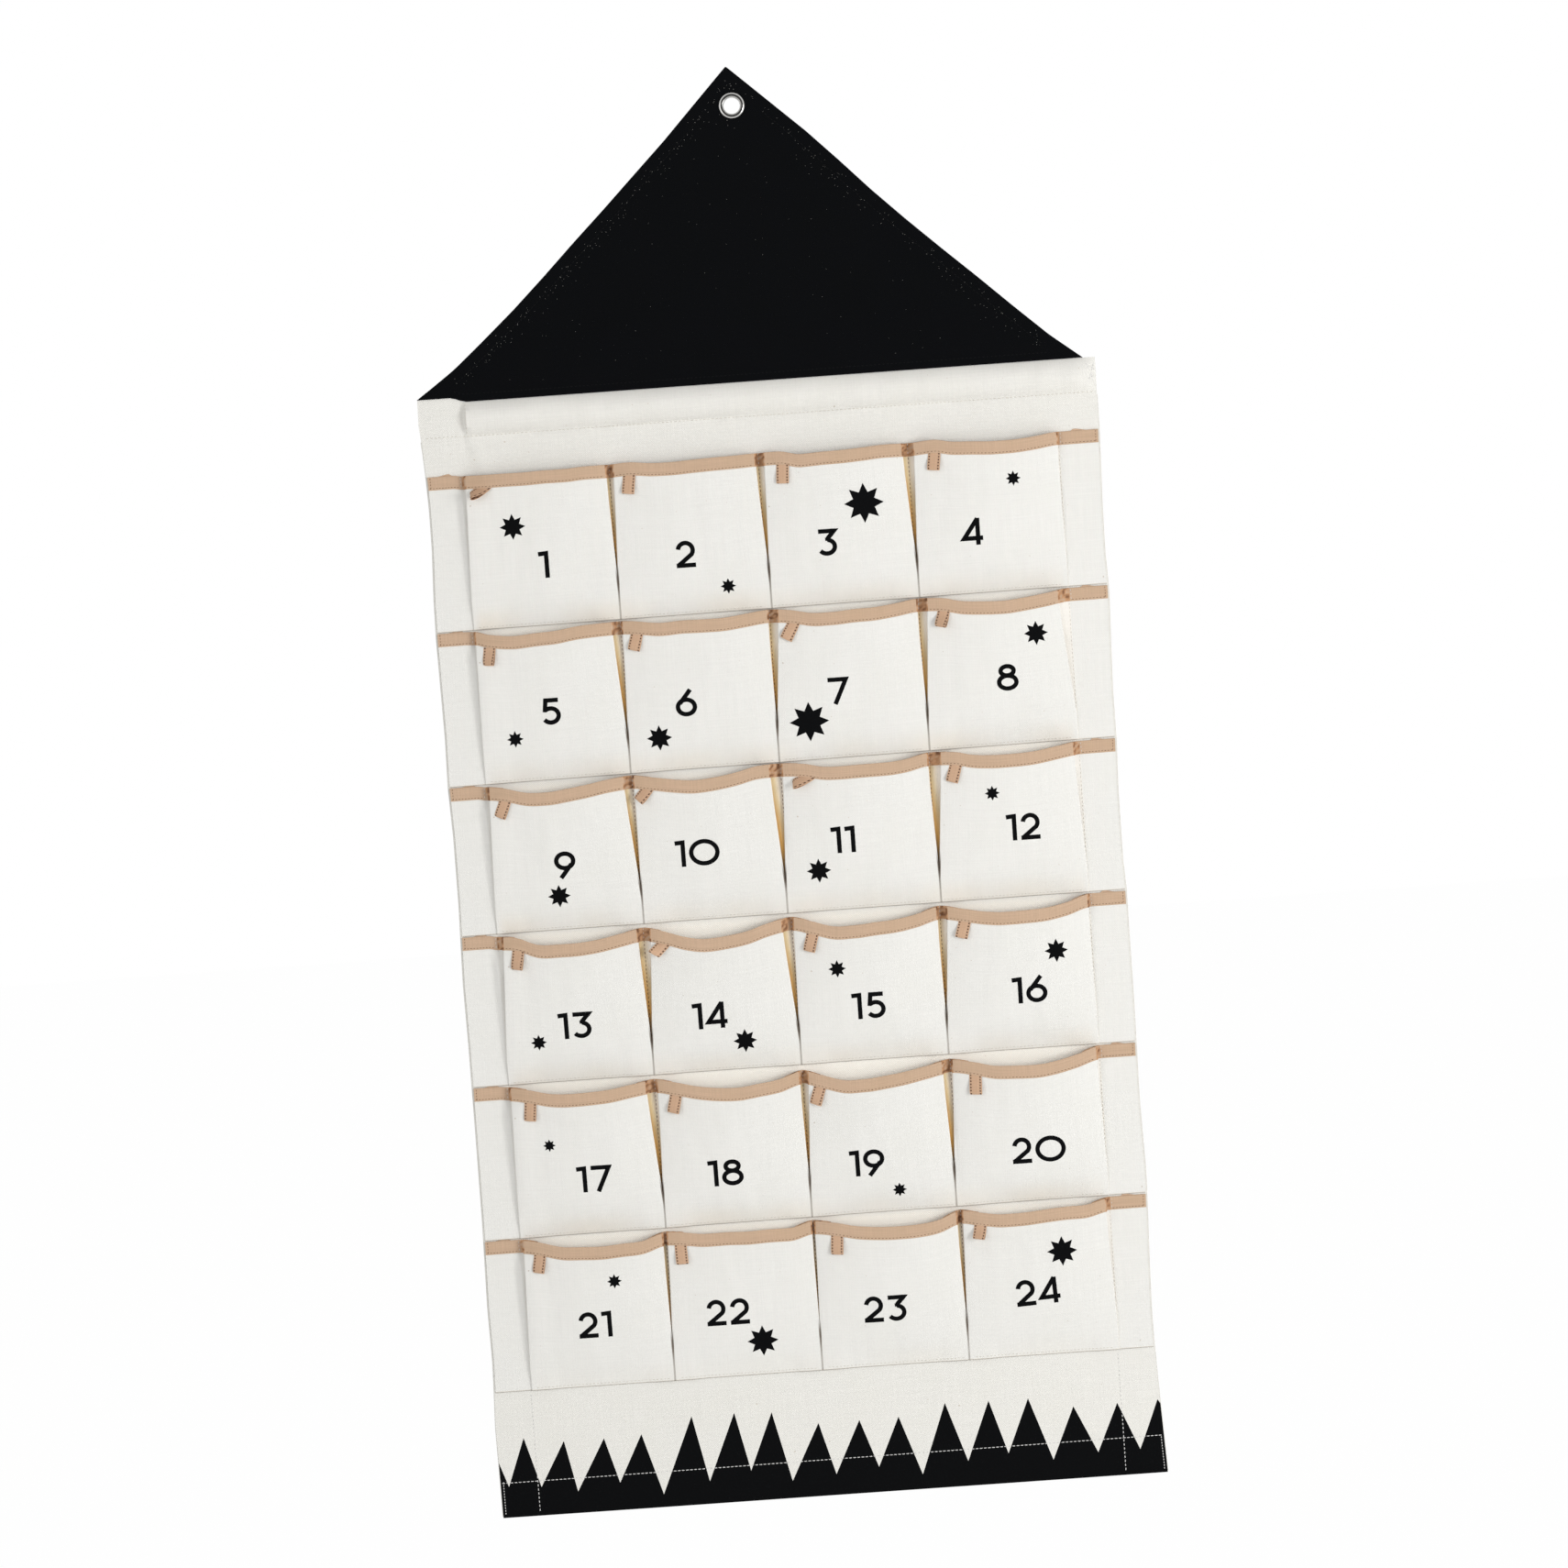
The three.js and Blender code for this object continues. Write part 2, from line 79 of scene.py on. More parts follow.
# Places on the panel are (x, out, z): x from the panel's centre line to the viewer's right, out from the middle
# of the panel's cloth towards the viewer, and z up from the seam under the roof. The tables hold millimetres.
MM = 0.001
CAD_BOX = [list(corner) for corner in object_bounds()]
JOINTS = {joint["name"]: joint for joint in frame["joints"]}
SEAM = Vector(JOINTS["panel_swing"]["pos_m"])
ROWS = 6
POCKETS_PER_ROW = 4

# Where the strips are sewn down
DIVIDERS = (-230, -117, -2, 113, 229)

# Each pocket's two front folds at its mouth
FOLDS = (
    ((-227, -120), (-113, -5), (3, 108), (118, 227)),
    ((-229, -124), (-115, -4), (5, 111), (120, 220)),
    ((-227, -124), (-115, -11), (0, 111), (122, 224)),
    ((-225, -122), (-111, -10), (0, 110), (119, 227)),
    ((-228, -124), (-114, -5), (3, 106), (115, 226)),
    ((-227, -120), (-115, -4), (0, 109), (115, 225)),
)

# How far each strip's edge hangs below level at its left and right end, and the last strip's foot
ROW_TILTS = ((-0.4, -1.4), (1.5, 0.1), (2.5, -0.3), (0.1, -0.4), (-0.4, -0.5), (1.5, -0.4), (0, 0))

# How far each strip's edge sags: at each divider, and then at the shares MOUTH_SHARES of the pocket to its right
MOUTH_SHARES = (0.28, 0.42, 0.56, 0.7, 0.84)
SAGS = (
    ((1, 1.4, 1.6, 1.2, 1.3, 0.4), (0.4, 1.6, 2, 1.4, 0.9, 0.6),
     (0, 3.2, 2.6, 2.4, 1.6, 0.6), (0.8, 2.1, 3.2, 4.2, 4.1, 2.7)),
    ((0.4, 5.6, 4.6, 3.9, 1.8, 0.9), (0.5, 3.9, 3.2, 3.6, 3.5, 1.8),
     (0, 4.8, 5.2, 4.3, 4, 2.3), (0, 4.2, 5.7, 6.3, 5, 3)),
    ((1.1, 7.2, 7.9, 6.4, 4.3, 1.8), (0.5, 5.7, 7.4, 6.3, 3.9, 0.4),
     (0, 4.5, 5.2, 5, 5, 3.7), (0.4, 4.1, 5.6, 5.7, 5, 2.7)),
    ((1.3, 8.6, 9.3, 9.2, 7.7, 4.9), (2.2, 10.7, 13.2, 12, 9.6, 4.9),
     (2.1, 10.7, 10.9, 9.7, 8.7, 6), (1.7, 7.3, 8.9, 8.7, 8, 5.2)),
    ((0.8, 6.5, 7.6, 7.3, 6.4, 4.1), (2.3, 8.6, 11, 11.9, 10.2, 8.2),
     (3.5, 12.2, 12.3, 10.8, 8.7, 5.7), (2.9, 8.9, 9.9, 10.4, 8.6, 5.1)),
    ((0, 6.1, 7.2, 7.9, 7.1, 6.4), (1.9, 4.8, 4.7, 5.4, 5, 5.3),
     (1.6, 6.7, 8.5, 9.3, 9.1, 7.3), (1.9, 6.4, 6.2, 5, 4.1, 4)),
)

# How far right of each divider, in mm, the folds of the two pockets beside it meet, row by row
FOLD_TIPS = (
    (0, 0.6, 2.3, 1.3, 0),
    (0, -0.6, -0.4, 0.9, 0),
    (0, 1.0, -2.3, 1.8, 0),
    (0, 0.3, 0, -0.6, 0),
    (0, 0.5, -0.3, -2.6, 0),
    (0, -0.9, -0.6, -0.9, 0),
)

# Each tab's lean in degrees, its foot to the left, its length below the tape, its twist in degrees, its curl towards
# the viewer in degrees, how far its loop stands open, how far right of its joint's middle it is sewn on, and how far
# above its joint the tape's edge lies
TABS = (
    (48, 10.5, 74, 12, 3, 1.4, -0.3),
    (7, 13.7, 0, 4, 1, 1.2, 1.1),
    (3, 13.9, 0, 2, 0.9, 0.5, 2.3),
    (6, 12.8, 5, 4, 1.1, -0.3, 3.2),
    (3, 13.2, 20, 4, 1.8, 1, -3.2),
    (15, 12, 0, 6, 1, 0.6, -1.5),
    (29, 13.2, -8, 4, 1.1, 0.5, -0.2),
    (10, 11.8, 24, 20, 2.6, -0.1, 1),
    (20, 12.7, 8, 8, 1.3, 1.7, -2.1),
    (35, 10, 26, 30, 1.5, 0.8, -2.1),
    (58, 11, 62, 14, 1.6, 0.9, 0.1),
    (16, 13, 4, 6, 1.2, -0.2, 1.4),
    (6, 14, 12, 4, 1.6, 1.6, 0.9),
    (42, 9.8, -34, 34, 1.2, 1.5, -1.5),
    (14, 13, 8, 5, 1.2, 0.9, -2.3),
    (15, 12.2, -6, 5, 1, -0.1, -0.9),
    (4, 13.4, 3, 3, 1, 1.5, 0.7),
    (12, 13.3, 5, 6, 1.1, 1.3, -0.7),
    (17, 13.3, 8, 6, 1.2, 0.7, -3.3),
    (1, 14.5, 0, 3, 1, 0, -0.7),
    (6, 13.2, 8, 9, 1.4, 1.7, 0.3),
    (-3, 14.3, 0, 2, 0.9, 0.7, -2.5),
    (2, 14, 3, 4, 1.1, 0.6, -0.8),
    (4, 10.6, 14, 50, 1.8, 0.6, -2.8),
)

# Creases in the panel: from, to, height and half width
CREASES = (
    (-223, -26, -213, -54, 2.2, 2.6),
    (-229, -27, -224, -40, -0.6, 2),
    (-215, -27, -196, -33, 0.5, 2),
    (-120, -25, -60, -31, 0.5, 3),
    (60, -27, 150, -36, 0.45, 4),
    (-250, -30, -236, -52, 0.5, 4),
)

# The printed numbers: the middle of each, and its turn in degrees where the cloth lay askew
NUMBER_PLACES = (
    (-172.1, -128.1), (-63.0, -127.9), (46.3, -126.6), (157.8, -126.4),
    (-175.2, -241.0), (-70.8, -242.1), (46.6, -240.8), (177.3, -239.9),
    (-173.1, -359.8), (-70.6, -357.9), (42.3, -355.7), (181.6, -355.6),
    (-175.0, -484.9), (-70.3, -484.7), (53.0, -485.5), (178.0, -482.0),
    (-168.8, -605.1), (-66.8, -607.7), (43.1, -607.9), (176.7, -606.6),
    (-176.6, -719.2), (-73.0, -717.1), (49.1, -722.7), (168.4, -718.0),
)
NUMBER_TURNS = {24: 3}

# The printed stars: the middle and the outer radius of each
STARS = (
    (-194.0, -97.6, 9.9), (-31.9, -154.6, 6.0), (76.5, -98.5, 15.3), (191.9, -87.8, 5.8), (-204.3, -260.7, 6.4),
    (-93.3, -267.6, 9.8), (22.9, -263.2, 15.3), (201.4, -207.4, 9.3), (-179.4, -384.0, 8.8), (22.1, -378.7, 9.4),
    (159.4, -328.0, 5.8), (-203.8, -496.6, 6.2), (-44.2, -506.3, 9.2), (30.7, -455.2, 6.8), (200.5, -452.9, 9.1),
    (-201.5, -576.8, 4.9), (67.1, -631.0, 5.6), (-159.0, -685.9, 5.7), (-47.4, -741.8, 12.1), (189.4, -687.2, 11.7),
)

# The upper edge of the black print along the panel's foot
ZIGZAG = (
    (-261, -821.5), (-253.7, -844.1), (-239.5, -806.1), (-228.5, -845.9), (-208.4, -810.6), (-200.2, -851.4),
    (-177, -810.7), (-166.9, -846.7), (-147.6, -809.5), (-133.4, -858.2), (-107.5, -798.2), (-96.8, -850.5),
    (-74.1, -797.9), (-64, -844.5), (-44.9, -799.5), (-32.2, -854.9), (-9, -810.6), (2.3, -852), (23, -810.5),
    (35.9, -848.6), (53.7, -810), (69.6, -856.9), (90.5, -801.8), (105.7, -848.9), (124.6, -802.3),
    (137.5, -845), (155.5, -802.7), (172.2, -852.5), (190.4, -811.5), (207.5, -849), (224.7, -811.2),
    (240.4, -848.9), (258, -810.6), (262, -817),
)

# The roof's sloping edges: height above the seam, and how far left and right the cloth reaches
ROOF_EDGES = (
    (0.5, -261, 252.3), (8, -251, 242.8), (20, -237, 227.5), (44, -208.8, 201.2), (68, -181.5, 175.6),
    (92, -156.1, 149.3), (116, -131.5, 123.6), (140, -106.2, 99), (164, -81.6, 76), (188, -56.9, 52.2),
    (212, -33.8, 26.1), (236, -10.6, 0), (240.6, -6.1, -5.1),
)

# The panel's side edges: height, and how far the left and right edge stray from where they were cut
EDGE_DRIFTS = (
    (0, -0.4, 1.2), (-17, -0.8, 1.1), (-33, 0.9, 1), (-56, 2.1, 0.9), (-79, 2.8, 0.3), (-110, 2.7, -0.6),
    (-149, 1, -0.9), (-179, 0.5, 0.2), (-226, 1.1, -1.3), (-256, 1.5, -2.1), (-295, 0.8, -1.8), (-334, 2.1, -3),
    (-387, 2.1, -2.9), (-411, 1.5, -1.7), (-449, 0.7, -1.8), (-495, 1.3, -1.6), (-573, 1.4, -2.4),
    (-634, 1.4, -1), (-703, 0.3, -3.1), (-742, 1, -3.8), (-765, 0.5, -3.4), (-796, -0.7, -2.4), (-842, -0.2, -0.5),
    (-868, -0.1, 0.6),
)

# The rod's swell, in metres: where it starts and is full at the left, where it is full and has ended at the right, and
# the columns that the panel's mesh has there
ROD_STOPS = (-0.2268, -0.2233, 0.2515, 0.2598)
ROD_END_COLUMNS = (-0.2268, -0.2250, -0.2233, 0.2515, 0.2556)

# How much higher the seam sits beyond the rod's left end
SEAM_RISE = 0.0036

# From the middle of the panel's cloth to the sewn-down pocket cloth, and from one layer of a pleat to the next: under
# the tape, below it and along the foot
BASE_OUTS = (0.00128, 0.00092, 0.00080)
PILES = (0.00150, 0.00085, 0.00058)

# The share of the free height at which two folds have met, and how far each then stays from where they meet
FOLDS_MEET = 0.82
CLOSED_GAP = 0.0004

# Between the pocket cloth and the tape folded over it
TAPE_GAP = 0.0001

# From a tab's middle: how far the tape lies full on it, and where the tape is back on the cloth
TAB_BULGE = (0.0047, 0.0066)

# How much a print's lower side lies under the cloth's face, and how thick it is
PRINT_SUNK = 0.00006
PRINT_THICKNESS = 0.00016

# The rings of a stitch: share of its length, girth and rise, both in radii of its thread
STITCH_RINGS = ((0.0, 0.25, -0.5), (0.18, 0.85, 0.25), (0.5, 1.0, 0.55), (0.82, 0.85, 0.25), (1.0, 0.25, -0.5))
STITCH_SIDES = 6

# A printed stroke's cross-section: share of its half width, and 0 under the cloth's face or 1 on the ink
PRINT_SECTION = ((1, 0), (1, 1), (0, 1), (-1, 1), (-1, 0))

# Towards the viewer
FORWARD = Vector((0, -1, 0))

# Tones inside the materials, as linear colour
# A painted shadow line under the pockets' folded feet
FOOT_EDGE_SHADOW = (0.22, 0.20, 0.18)
SEED_SPECK = (0.36, 0.24, 0.12)
# Painted shade in the eyelet's valley
VALLEY_SHADE = (0.02, 0.019, 0.018)


def length_property(name, description, default):
    return FloatProperty(name=name, description=description, default=default, unit="LENGTH")


def colour_property(name, description, default):
    return FloatVectorProperty(
        name=name, description=description, default=default, subtype="COLOR", size=3, min=0, max=1
    )


class ClothSizes(bpy.types.PropertyGroup):
    """Cut and sewn sizes of the cloth"""

    panel_width: length_property("Panel width", "Edge to edge", 0.520)
    panel_height: length_property("Panel height", "Seam to foot", 0.868)
    row_pitch: length_property("Row pitch", "From row to row", 0.1186)
    first_row: length_property("First row", "Seam to the first edge", 0.056)
    cloth: length_property("Cloth", "Thickness of the canvas", 0.0006)
    tape: length_property("Tape", "Thickness of the edging tape", 0.00035)
    ribbon: length_property("Ribbon", "Thickness of the tabs' ribbon", 0.0003)
    hem: length_property("Hem", "Width of the folded side and foot hems", 0.030)
    channel: length_property("Channel", "Height of the rod's channel", 0.025)
    channel_swell: length_property("Channel swell", "How far the rod pushes the channel out", 0.0063)
    fold_lift: length_property("Fold lift", "How far the folds beside a mouth stand out", 0.0013)
    tab_room: length_property("Tab room", "From the pocket cloth to the middle of a tab", 0.00072)
    pleat: length_property("Pleat", "Depth of the pleat beside a divider", 0.0126)
    tape_height: length_property("Tape height", "Height of the taped edge", 0.010)
    ribbon_width: length_property("Ribbon width", "Width of a tab", 0.0097)
    number_height: length_property("Number height", "Height of a numeral", 0.0206)
    stroke: length_property("Stroke", "Width of a numeral's stroke", 0.0034)
    stitch: length_property("Stitch", "Length of a stitch with its gap", 0.0032)
    thread: length_property("Thread", "Thickness of the sewing thread", 0.00045)


class Colours(bpy.types.PropertyGroup):
    """Finishes, as linear colour"""

    black_canvas: colour_property("Black canvas", "The roof", (0.0022, 0.0025, 0.0032))
    cream_canvas: colour_property("Cream canvas", "The panel", (0.835, 0.820, 0.775))
    # Painted light: the panel's cloth above each mouth is brighter and warmer than its own cream
    behind_mouth: colour_property("Behind the mouths", "The panel's cloth that each mouth shows", (0.985, 0.95, 0.87))
    pocket_cloth: colour_property("Pocket cloth", "The pocket fronts", (0.850, 0.840, 0.805))
    # Painted shade: the pocket cloth is darker and warmer along its foot
    foot_cloth: colour_property("Foot cloth", "The pocket cloth along its foot", (0.83, 0.785, 0.705))
    # Painted light and shade in the gaps between the pockets: pleat_lit is a painted highlight, and pleat_pale,
    # pleat_gold and pleat_dark are painted shade near the mouths, lower down and where the folds close
    pleat_lit: colour_property("Pleat, lit", "The lit side of the pleats near the mouths", (0.99, 0.92, 0.83))
    pleat_pale: colour_property("Pleat, pale", "Inside the pleats near the mouths", (0.76, 0.61, 0.37))
    pleat_gold: colour_property("Pleat, gold", "Inside the pleats lower down", (0.72, 0.41, 0.12))
    pleat_dark: colour_property("Pleat, dark", "Where the pleats close", (0.15, 0.115, 0.085))
    tape: colour_property("Tape", "The edging tape", (0.605, 0.425, 0.295))
    # Painted shade inside the tape's folds
    tape_pale: colour_property("Tape, pale", "Inside the tape's folds", (0.56, 0.31, 0.165))
    tape_dark: colour_property("Tape, dark", "Deepest in the tape's folds", (0.20, 0.095, 0.05))
    ribbon: colour_property("Ribbon", "The tabs", (0.66, 0.43, 0.285))
    brown_thread: colour_property("Brown thread", "Stitches on tape and ribbon", (0.20, 0.095, 0.055))
    cream_thread: colour_property("Cream thread", "Stitches on the canvas", (0.78, 0.74, 0.66))
    white_thread: colour_property("White thread", "The thick stitches and the tape's", (0.88, 0.87, 0.85))
    black_thread: colour_property("Black thread", "Stitches on the roof", (0.0045, 0.0045, 0.005))
    lint: colour_property("Lint", "Flecks caught by the roof's stitches", (0.30, 0.29, 0.27))
    print_black: colour_property("Print", "Numbers, stars and zigzag", (0.0024, 0.0026, 0.0030))
    nickel: colour_property("Nickel", "Eyelet and washer", (0.52, 0.515, 0.50))
    wood: colour_property("Wood", "The rod", (0.66, 0.50, 0.30))


class StageSizes(bpy.types.PropertyGroup):
    """Camera, lamps and floor"""

    lens: FloatProperty(name="Lens", description="Focal length in millimetres", default=85)
    camera_x: length_property("Camera X", "Place of the camera", 0.0233)
    camera_y: length_property("Camera Y", "Place of the camera", -2.8572)
    camera_z: length_property("Camera Z", "Place of the camera", -0.3519)
    pitch: FloatProperty(name="Pitch", description="Camera's pitch", default=math.radians(-3.39), subtype="ANGLE")
    roll: FloatProperty(name="Roll", description="Camera's roll", default=math.radians(4.1), subtype="ANGLE")
    yaw: FloatProperty(name="Yaw", description="Camera's yaw", default=math.radians(0.41), subtype="ANGLE")
    key_power: FloatProperty(name="Key power", description="Soft lamp at the right", default=39, unit="POWER")
    fill_power: FloatProperty(name="Fill power", description="Soft lamp at the left", default=14, unit="POWER")
    room_light: FloatProperty(name="Room light", description="Strength of the plain world", default=0.50)
    floor_drop: length_property("Floor drop", "Floor below the foot", 0.25)


def cloth_sizes():
    return bpy.context.scene.calendar_cloth


def colours():
    return bpy.context.scene.calendar_colours


# Shaping helpers


def smooth_step(low, high, value):
    share = min(max((value - low) / (high - low), 0), 1)
    return share * share * (3 - 2 * share)


def mix(a, b, share):
    return a + (b - a) * share


def hump(share):
    """A smooth rise from 0 to 1 at half way, and back"""
    return math.sin(math.pi * share) if 0 < share < 1 else 0.0


def arc(centre_x, centre_y, radius_x, radius_y, start, end, steps=20):
    """Points along an ellipse, from one angle in degrees to another"""
    points = []
    for k in range(steps + 1):
        angle = math.radians(mix(start, end, k / steps))
        points.append((centre_x + radius_x * math.cos(angle), centre_y + radius_y * math.sin(angle)))
    return points


@functools.lru_cache(maxsize=None)
def ascending(table):
    return sorted(table)


def between(table, value, column):
    """A table's column at a value of its first column, in metres"""
    rows = ascending(table)
    place = value / MM
    if place <= rows[0][0]:
        return rows[0][column] * MM
    for low, high in zip(rows, rows[1:]):
        if place <= high[0]:
            return mix(low[column], high[column], (place - low[0]) / (high[0] - low[0])) * MM
    return rows[-1][column] * MM


def ripple(x, z, wavelength, seed):
    """Smooth noise from -1 to 1 over the hanging cloth"""
    return noise.noise(Vector((x / wavelength, seed, z / wavelength)))


def sway(x, z):
    """How far the whole panel strays from flat"""
    return 0.0013 * ripple(x, z, wavelength=0.23, seed=3.7) * smooth_step(0.0, 0.10, -z)


def seam_rise(x):
    """The seam sits higher beyond the rod's left end"""
    return SEAM_RISE * smooth_step(0.2225, 0.236, -x)


def edge_drift(x, z):
    """How far the panel's side hems stray sideways"""
    half = cloth_sizes().panel_width / 2
    inner = half - cloth_sizes().hem
    if abs(x) <= inner:
        return 0.0
    side = 1 if x < 0 else 2
    return between(EDGE_DRIFTS, z, side) * smooth_step(inner, half, abs(x))


def on_panel(x, out, z):
    """A place on the panel, as a point of the frame"""
    rise = seam_rise(x) * smooth_step(-0.034, 0.0, z)
    return Vector((SEAM.x + x + edge_drift(x, z), -out - sway(x, z), SEAM.z + z + rise))


# Mesh helpers


def link(name, mesh):
    piece = bpy.data.objects.new(name, mesh)
    bpy.context.scene.collection.objects.link(piece)
    return piece


def select_only(piece):
    bpy.ops.object.select_all(action="DESELECT")
    piece.select_set(True)
    bpy.context.view_layer.objects.active = piece


def mesh_piece(name, points, faces, face_uvs=None, slots=None):
    mesh = bpy.data.meshes.new(name)
    mesh.from_pydata([tuple(point) for point in points], [], faces)
    if face_uvs:
        layer = mesh.uv_layers.new(name="Cloth")
        layer.data.foreach_set("uv", [value for uvs in face_uvs for uv in uvs for value in uv])
    if slots:
        mesh.polygons.foreach_set("material_index", slots)
    mesh.polygons.foreach_set("use_smooth", [True] * len(mesh.polygons))
    mesh.update()
    return link(name, mesh)


def grid_piece(name, rows, uvs, tints=None, keep=lambda i, j: True, slot_at=None):
    """A sheet over rows of points, with its UV map in metres of cloth and its tints by name"""
    columns = len(rows[0])
    points = [point for row in rows for point in row]
    faces, face_uvs, slots = [], [], []
    for i in range(len(rows) - 1):
        for j in range(columns - 1):
            if not keep(i, j):
                continue
            corners = ((i, j), (i, j + 1), (i + 1, j + 1), (i + 1, j))
            faces.append([a * columns + b for a, b in corners])
            face_uvs.append([uvs[a][b] for a, b in corners])
            slots.append(slot_at(i, j) if slot_at else 0)
    piece = mesh_piece(name, points, faces, face_uvs, slots)
    for tint_name, values in (tints or {}).items():
        layer = piece.data.attributes.new(tint_name, "FLOAT", "POINT")
        layer.data.foreach_set("value", [value for row in values for value in row])
    return piece


def edit_all(piece, *steps):
    """Run mesh operators on a whole piece, each given as (operator, settings)"""
    select_only(piece)
    bpy.ops.object.mode_set(mode="EDIT")
    for operator, settings in steps:
        bpy.ops.mesh.select_all(action="SELECT")
        operator(**settings)
    bpy.ops.object.mode_set(mode="OBJECT")


def face_outwards(piece):
    edit_all(piece, (bpy.ops.mesh.normals_make_consistent, {"inside": False}))
    return piece


def join(piece, others):
    select_only(piece)
    for other in others:
        other.select_set(True)
    bpy.ops.object.join()


def thicken(piece, thickness, front=0):
    """Give a sheet its thickness, where the front's materials lie this many slots from the back's"""
    edit_all(piece, (bpy.ops.mesh.delete_loose, {}))
    solid = piece.modifiers.new("Thickness", "SOLIDIFY")
    solid.thickness = thickness
    solid.offset = 0
    solid.material_offset = solid.material_offset_rim = front
    bpy.ops.object.modifier_apply(modifier=solid.name)
    bpy.ops.object.shade_smooth_by_angle(angle=math.radians(50))
    return piece


def dress(piece, body, material):
    """Give a piece its finish and, when one is given, the body it rides on"""
    piece.data.materials.clear()
    piece.data.materials.append(material)
    if body:
        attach(piece, body)
    return piece


# The shape of the pocket cloth
# A level is the share of the way from a strip's taped edge, 0, to its sewn foot, 1.


def row_top(row, x=0.0):
    """The height of a strip's edge where it is sewn down"""
    sizes = cloth_sizes()
    left, right = ROW_TILTS[row]
    return -sizes.first_row - row * sizes.row_pitch - mix(left, right, x / sizes.panel_width + 0.5) * MM


def row_foot(row, x=0.0):
    """The height of a strip's foot: just above the next strip's edge, and the last one's a little lower"""
    above_next, last_below = 0.0012, -0.0014
    return row_top(row + 1, x) + (above_next if row < ROWS - 1 else last_below)


def taped_share():
    sizes = cloth_sizes()
    return sizes.tape_height / sizes.row_pitch


def free_level(level):
    """The level counted from the tape's lower edge"""
    return max(0.0, (level - taped_share()) / (1 - taped_share()))


def cross_share(pocket, x):
    left, right = DIVIDERS[pocket] * MM, DIVIDERS[pocket + 1] * MM
    return (x - left) / (right - left)


def base_out(level):
    """How far the sewn-down cloth lies in front of the middle of the panel's cloth"""
    taped, free, foot = BASE_OUTS
    below_tape = mix(taped, free, smooth_step(taped_share() * 0.9, taped_share() * 2.2, level))
    return mix(below_tape, foot, smooth_step(0.75, 1.0, level))


def pile(level):
    """From one layer of a pleat to the next"""
    taped, free, foot = PILES
    below_tape = mix(taped, free, smooth_step(taped_share(), taped_share() * 3, level))
    return mix(below_tape, foot, smooth_step(0.75, 1.0, level))


def pocket_half():
    """Half the thickness of the pocket cloth, which is thinner than the panel's"""
    return cloth_sizes().cloth * 0.4


def bulge_share(pocket, x):
    """How much of a mouth's belly stands at a place: a full curve that falls off fast at the dividers"""
    return hump(cross_share(pocket, x)) ** 0.6


def tab_place(row, pocket):
    """Where a tab is sewn on: (x, out, z)"""
    pivot = JOINTS[f"tab_{row * POCKETS_PER_ROW + pocket + 1:02d}_lift"]["pos_m"]
    return pivot[0] - SEAM.x, -pivot[1], pivot[2] - SEAM.z


@functools.lru_cache(maxsize=None)
def belly(row, pocket):
    """How far the middle of a mouth stands in front of its folds, so that its tab lies on it"""
    x, out, z = tab_place(row, pocket)
    level = taped_share()
    flat = base_out(level) + 2 * pile(level) + cloth_sizes().fold_lift
    return (out - cloth_sizes().tab_room - sway(x, z) - flat) / bulge_share(pocket, x)


@functools.lru_cache(maxsize=None)
def sag_points(row):
    """A strip's edge: (x, sag), as measured between the tabs and over each of them"""
    points = []
    for pocket, (at_divider, *inside) in enumerate(SAGS[row]):
        left, right = DIVIDERS[pocket] * MM, DIVIDERS[pocket + 1] * MM
        points.append((left, at_divider * MM))
        x, _, z = tab_place(row, pocket)
        rise = TABS[row * POCKETS_PER_ROW + pocket][-1] * MM
        points.append((x, row_top(row, x) - cloth_sizes().tape_height - z - rise))
        points += [(mix(left, right, share), fall * MM) for share, fall in zip(MOUTH_SHARES, inside)]
    return points + [(DIVIDERS[-1] * MM, 0.0005)]


def sag(row, x):
    """A smooth curve through the measured points"""
    points = sag_points(row)
    if x <= points[0][0]:
        return points[0][1] * (1 - smooth_step(0.0, 0.008, points[0][0] - x))
    if x >= points[-1][0]:
        return points[-1][1]
    k = next(i for i in range(len(points) - 1) if x <= points[i + 1][0])
    before, after = points[k], points[k + 1]
    width = after[0] - before[0]

    def slope(i):
        low, high = points[max(i - 1, 0)], points[min(i + 1, len(points) - 1)]
        if (points[i][1] - low[1]) * (high[1] - points[i][1]) <= 0:
            return 0.0
        return (high[1] - low[1]) / (high[0] - low[0]) * width

    s = (x - before[0]) / width
    bends = (s**3 - 2 * s**2 + s) * slope(k) + (s**3 - s**2) * slope(k + 1)
    return mix(before[1], after[1], s * s * (3 - 2 * s)) + bends


def side_lift(pocket, x, level):
    """The first pocket's left side is pulled up from the panel"""
    if pocket:
        return 0.0
    free = free_level(level)
    lift = 0.0032 * smooth_step(0, 0.12, free) * (1 - free**1.5)
    return lift * (1 - smooth_step(0, 0.024, x - DIVIDERS[0] * MM))


def swell(row, pocket, x, level):
    """How far a pocket's cloth stands in front of its sewn-down cloth"""
    sizes = cloth_sizes()
    free = free_level(level)
    open_here = belly(row, pocket) * (1 - free**2.1) * (1 - 0.25 * free * (1 - free))
    lift = sizes.fold_lift * (1 - free**1.4)
    down = level * sizes.row_pitch
    creases = 0.0009 * ripple(x, down * 0.6, wavelength=0.034, seed=11.3 + row * 5 + pocket)
    creases += 0.0005 * ripple(x * 1.7, down * 0.45, wavelength=0.016, seed=31.1 + row * 3 + pocket)
    calm = hump(cross_share(pocket, x)) * smooth_step(0, 0.15, free) * smooth_step(0, 0.08, 1 - free)
    return lift + open_here * bulge_share(pocket, x) + creases * calm + side_lift(pocket, x, level)


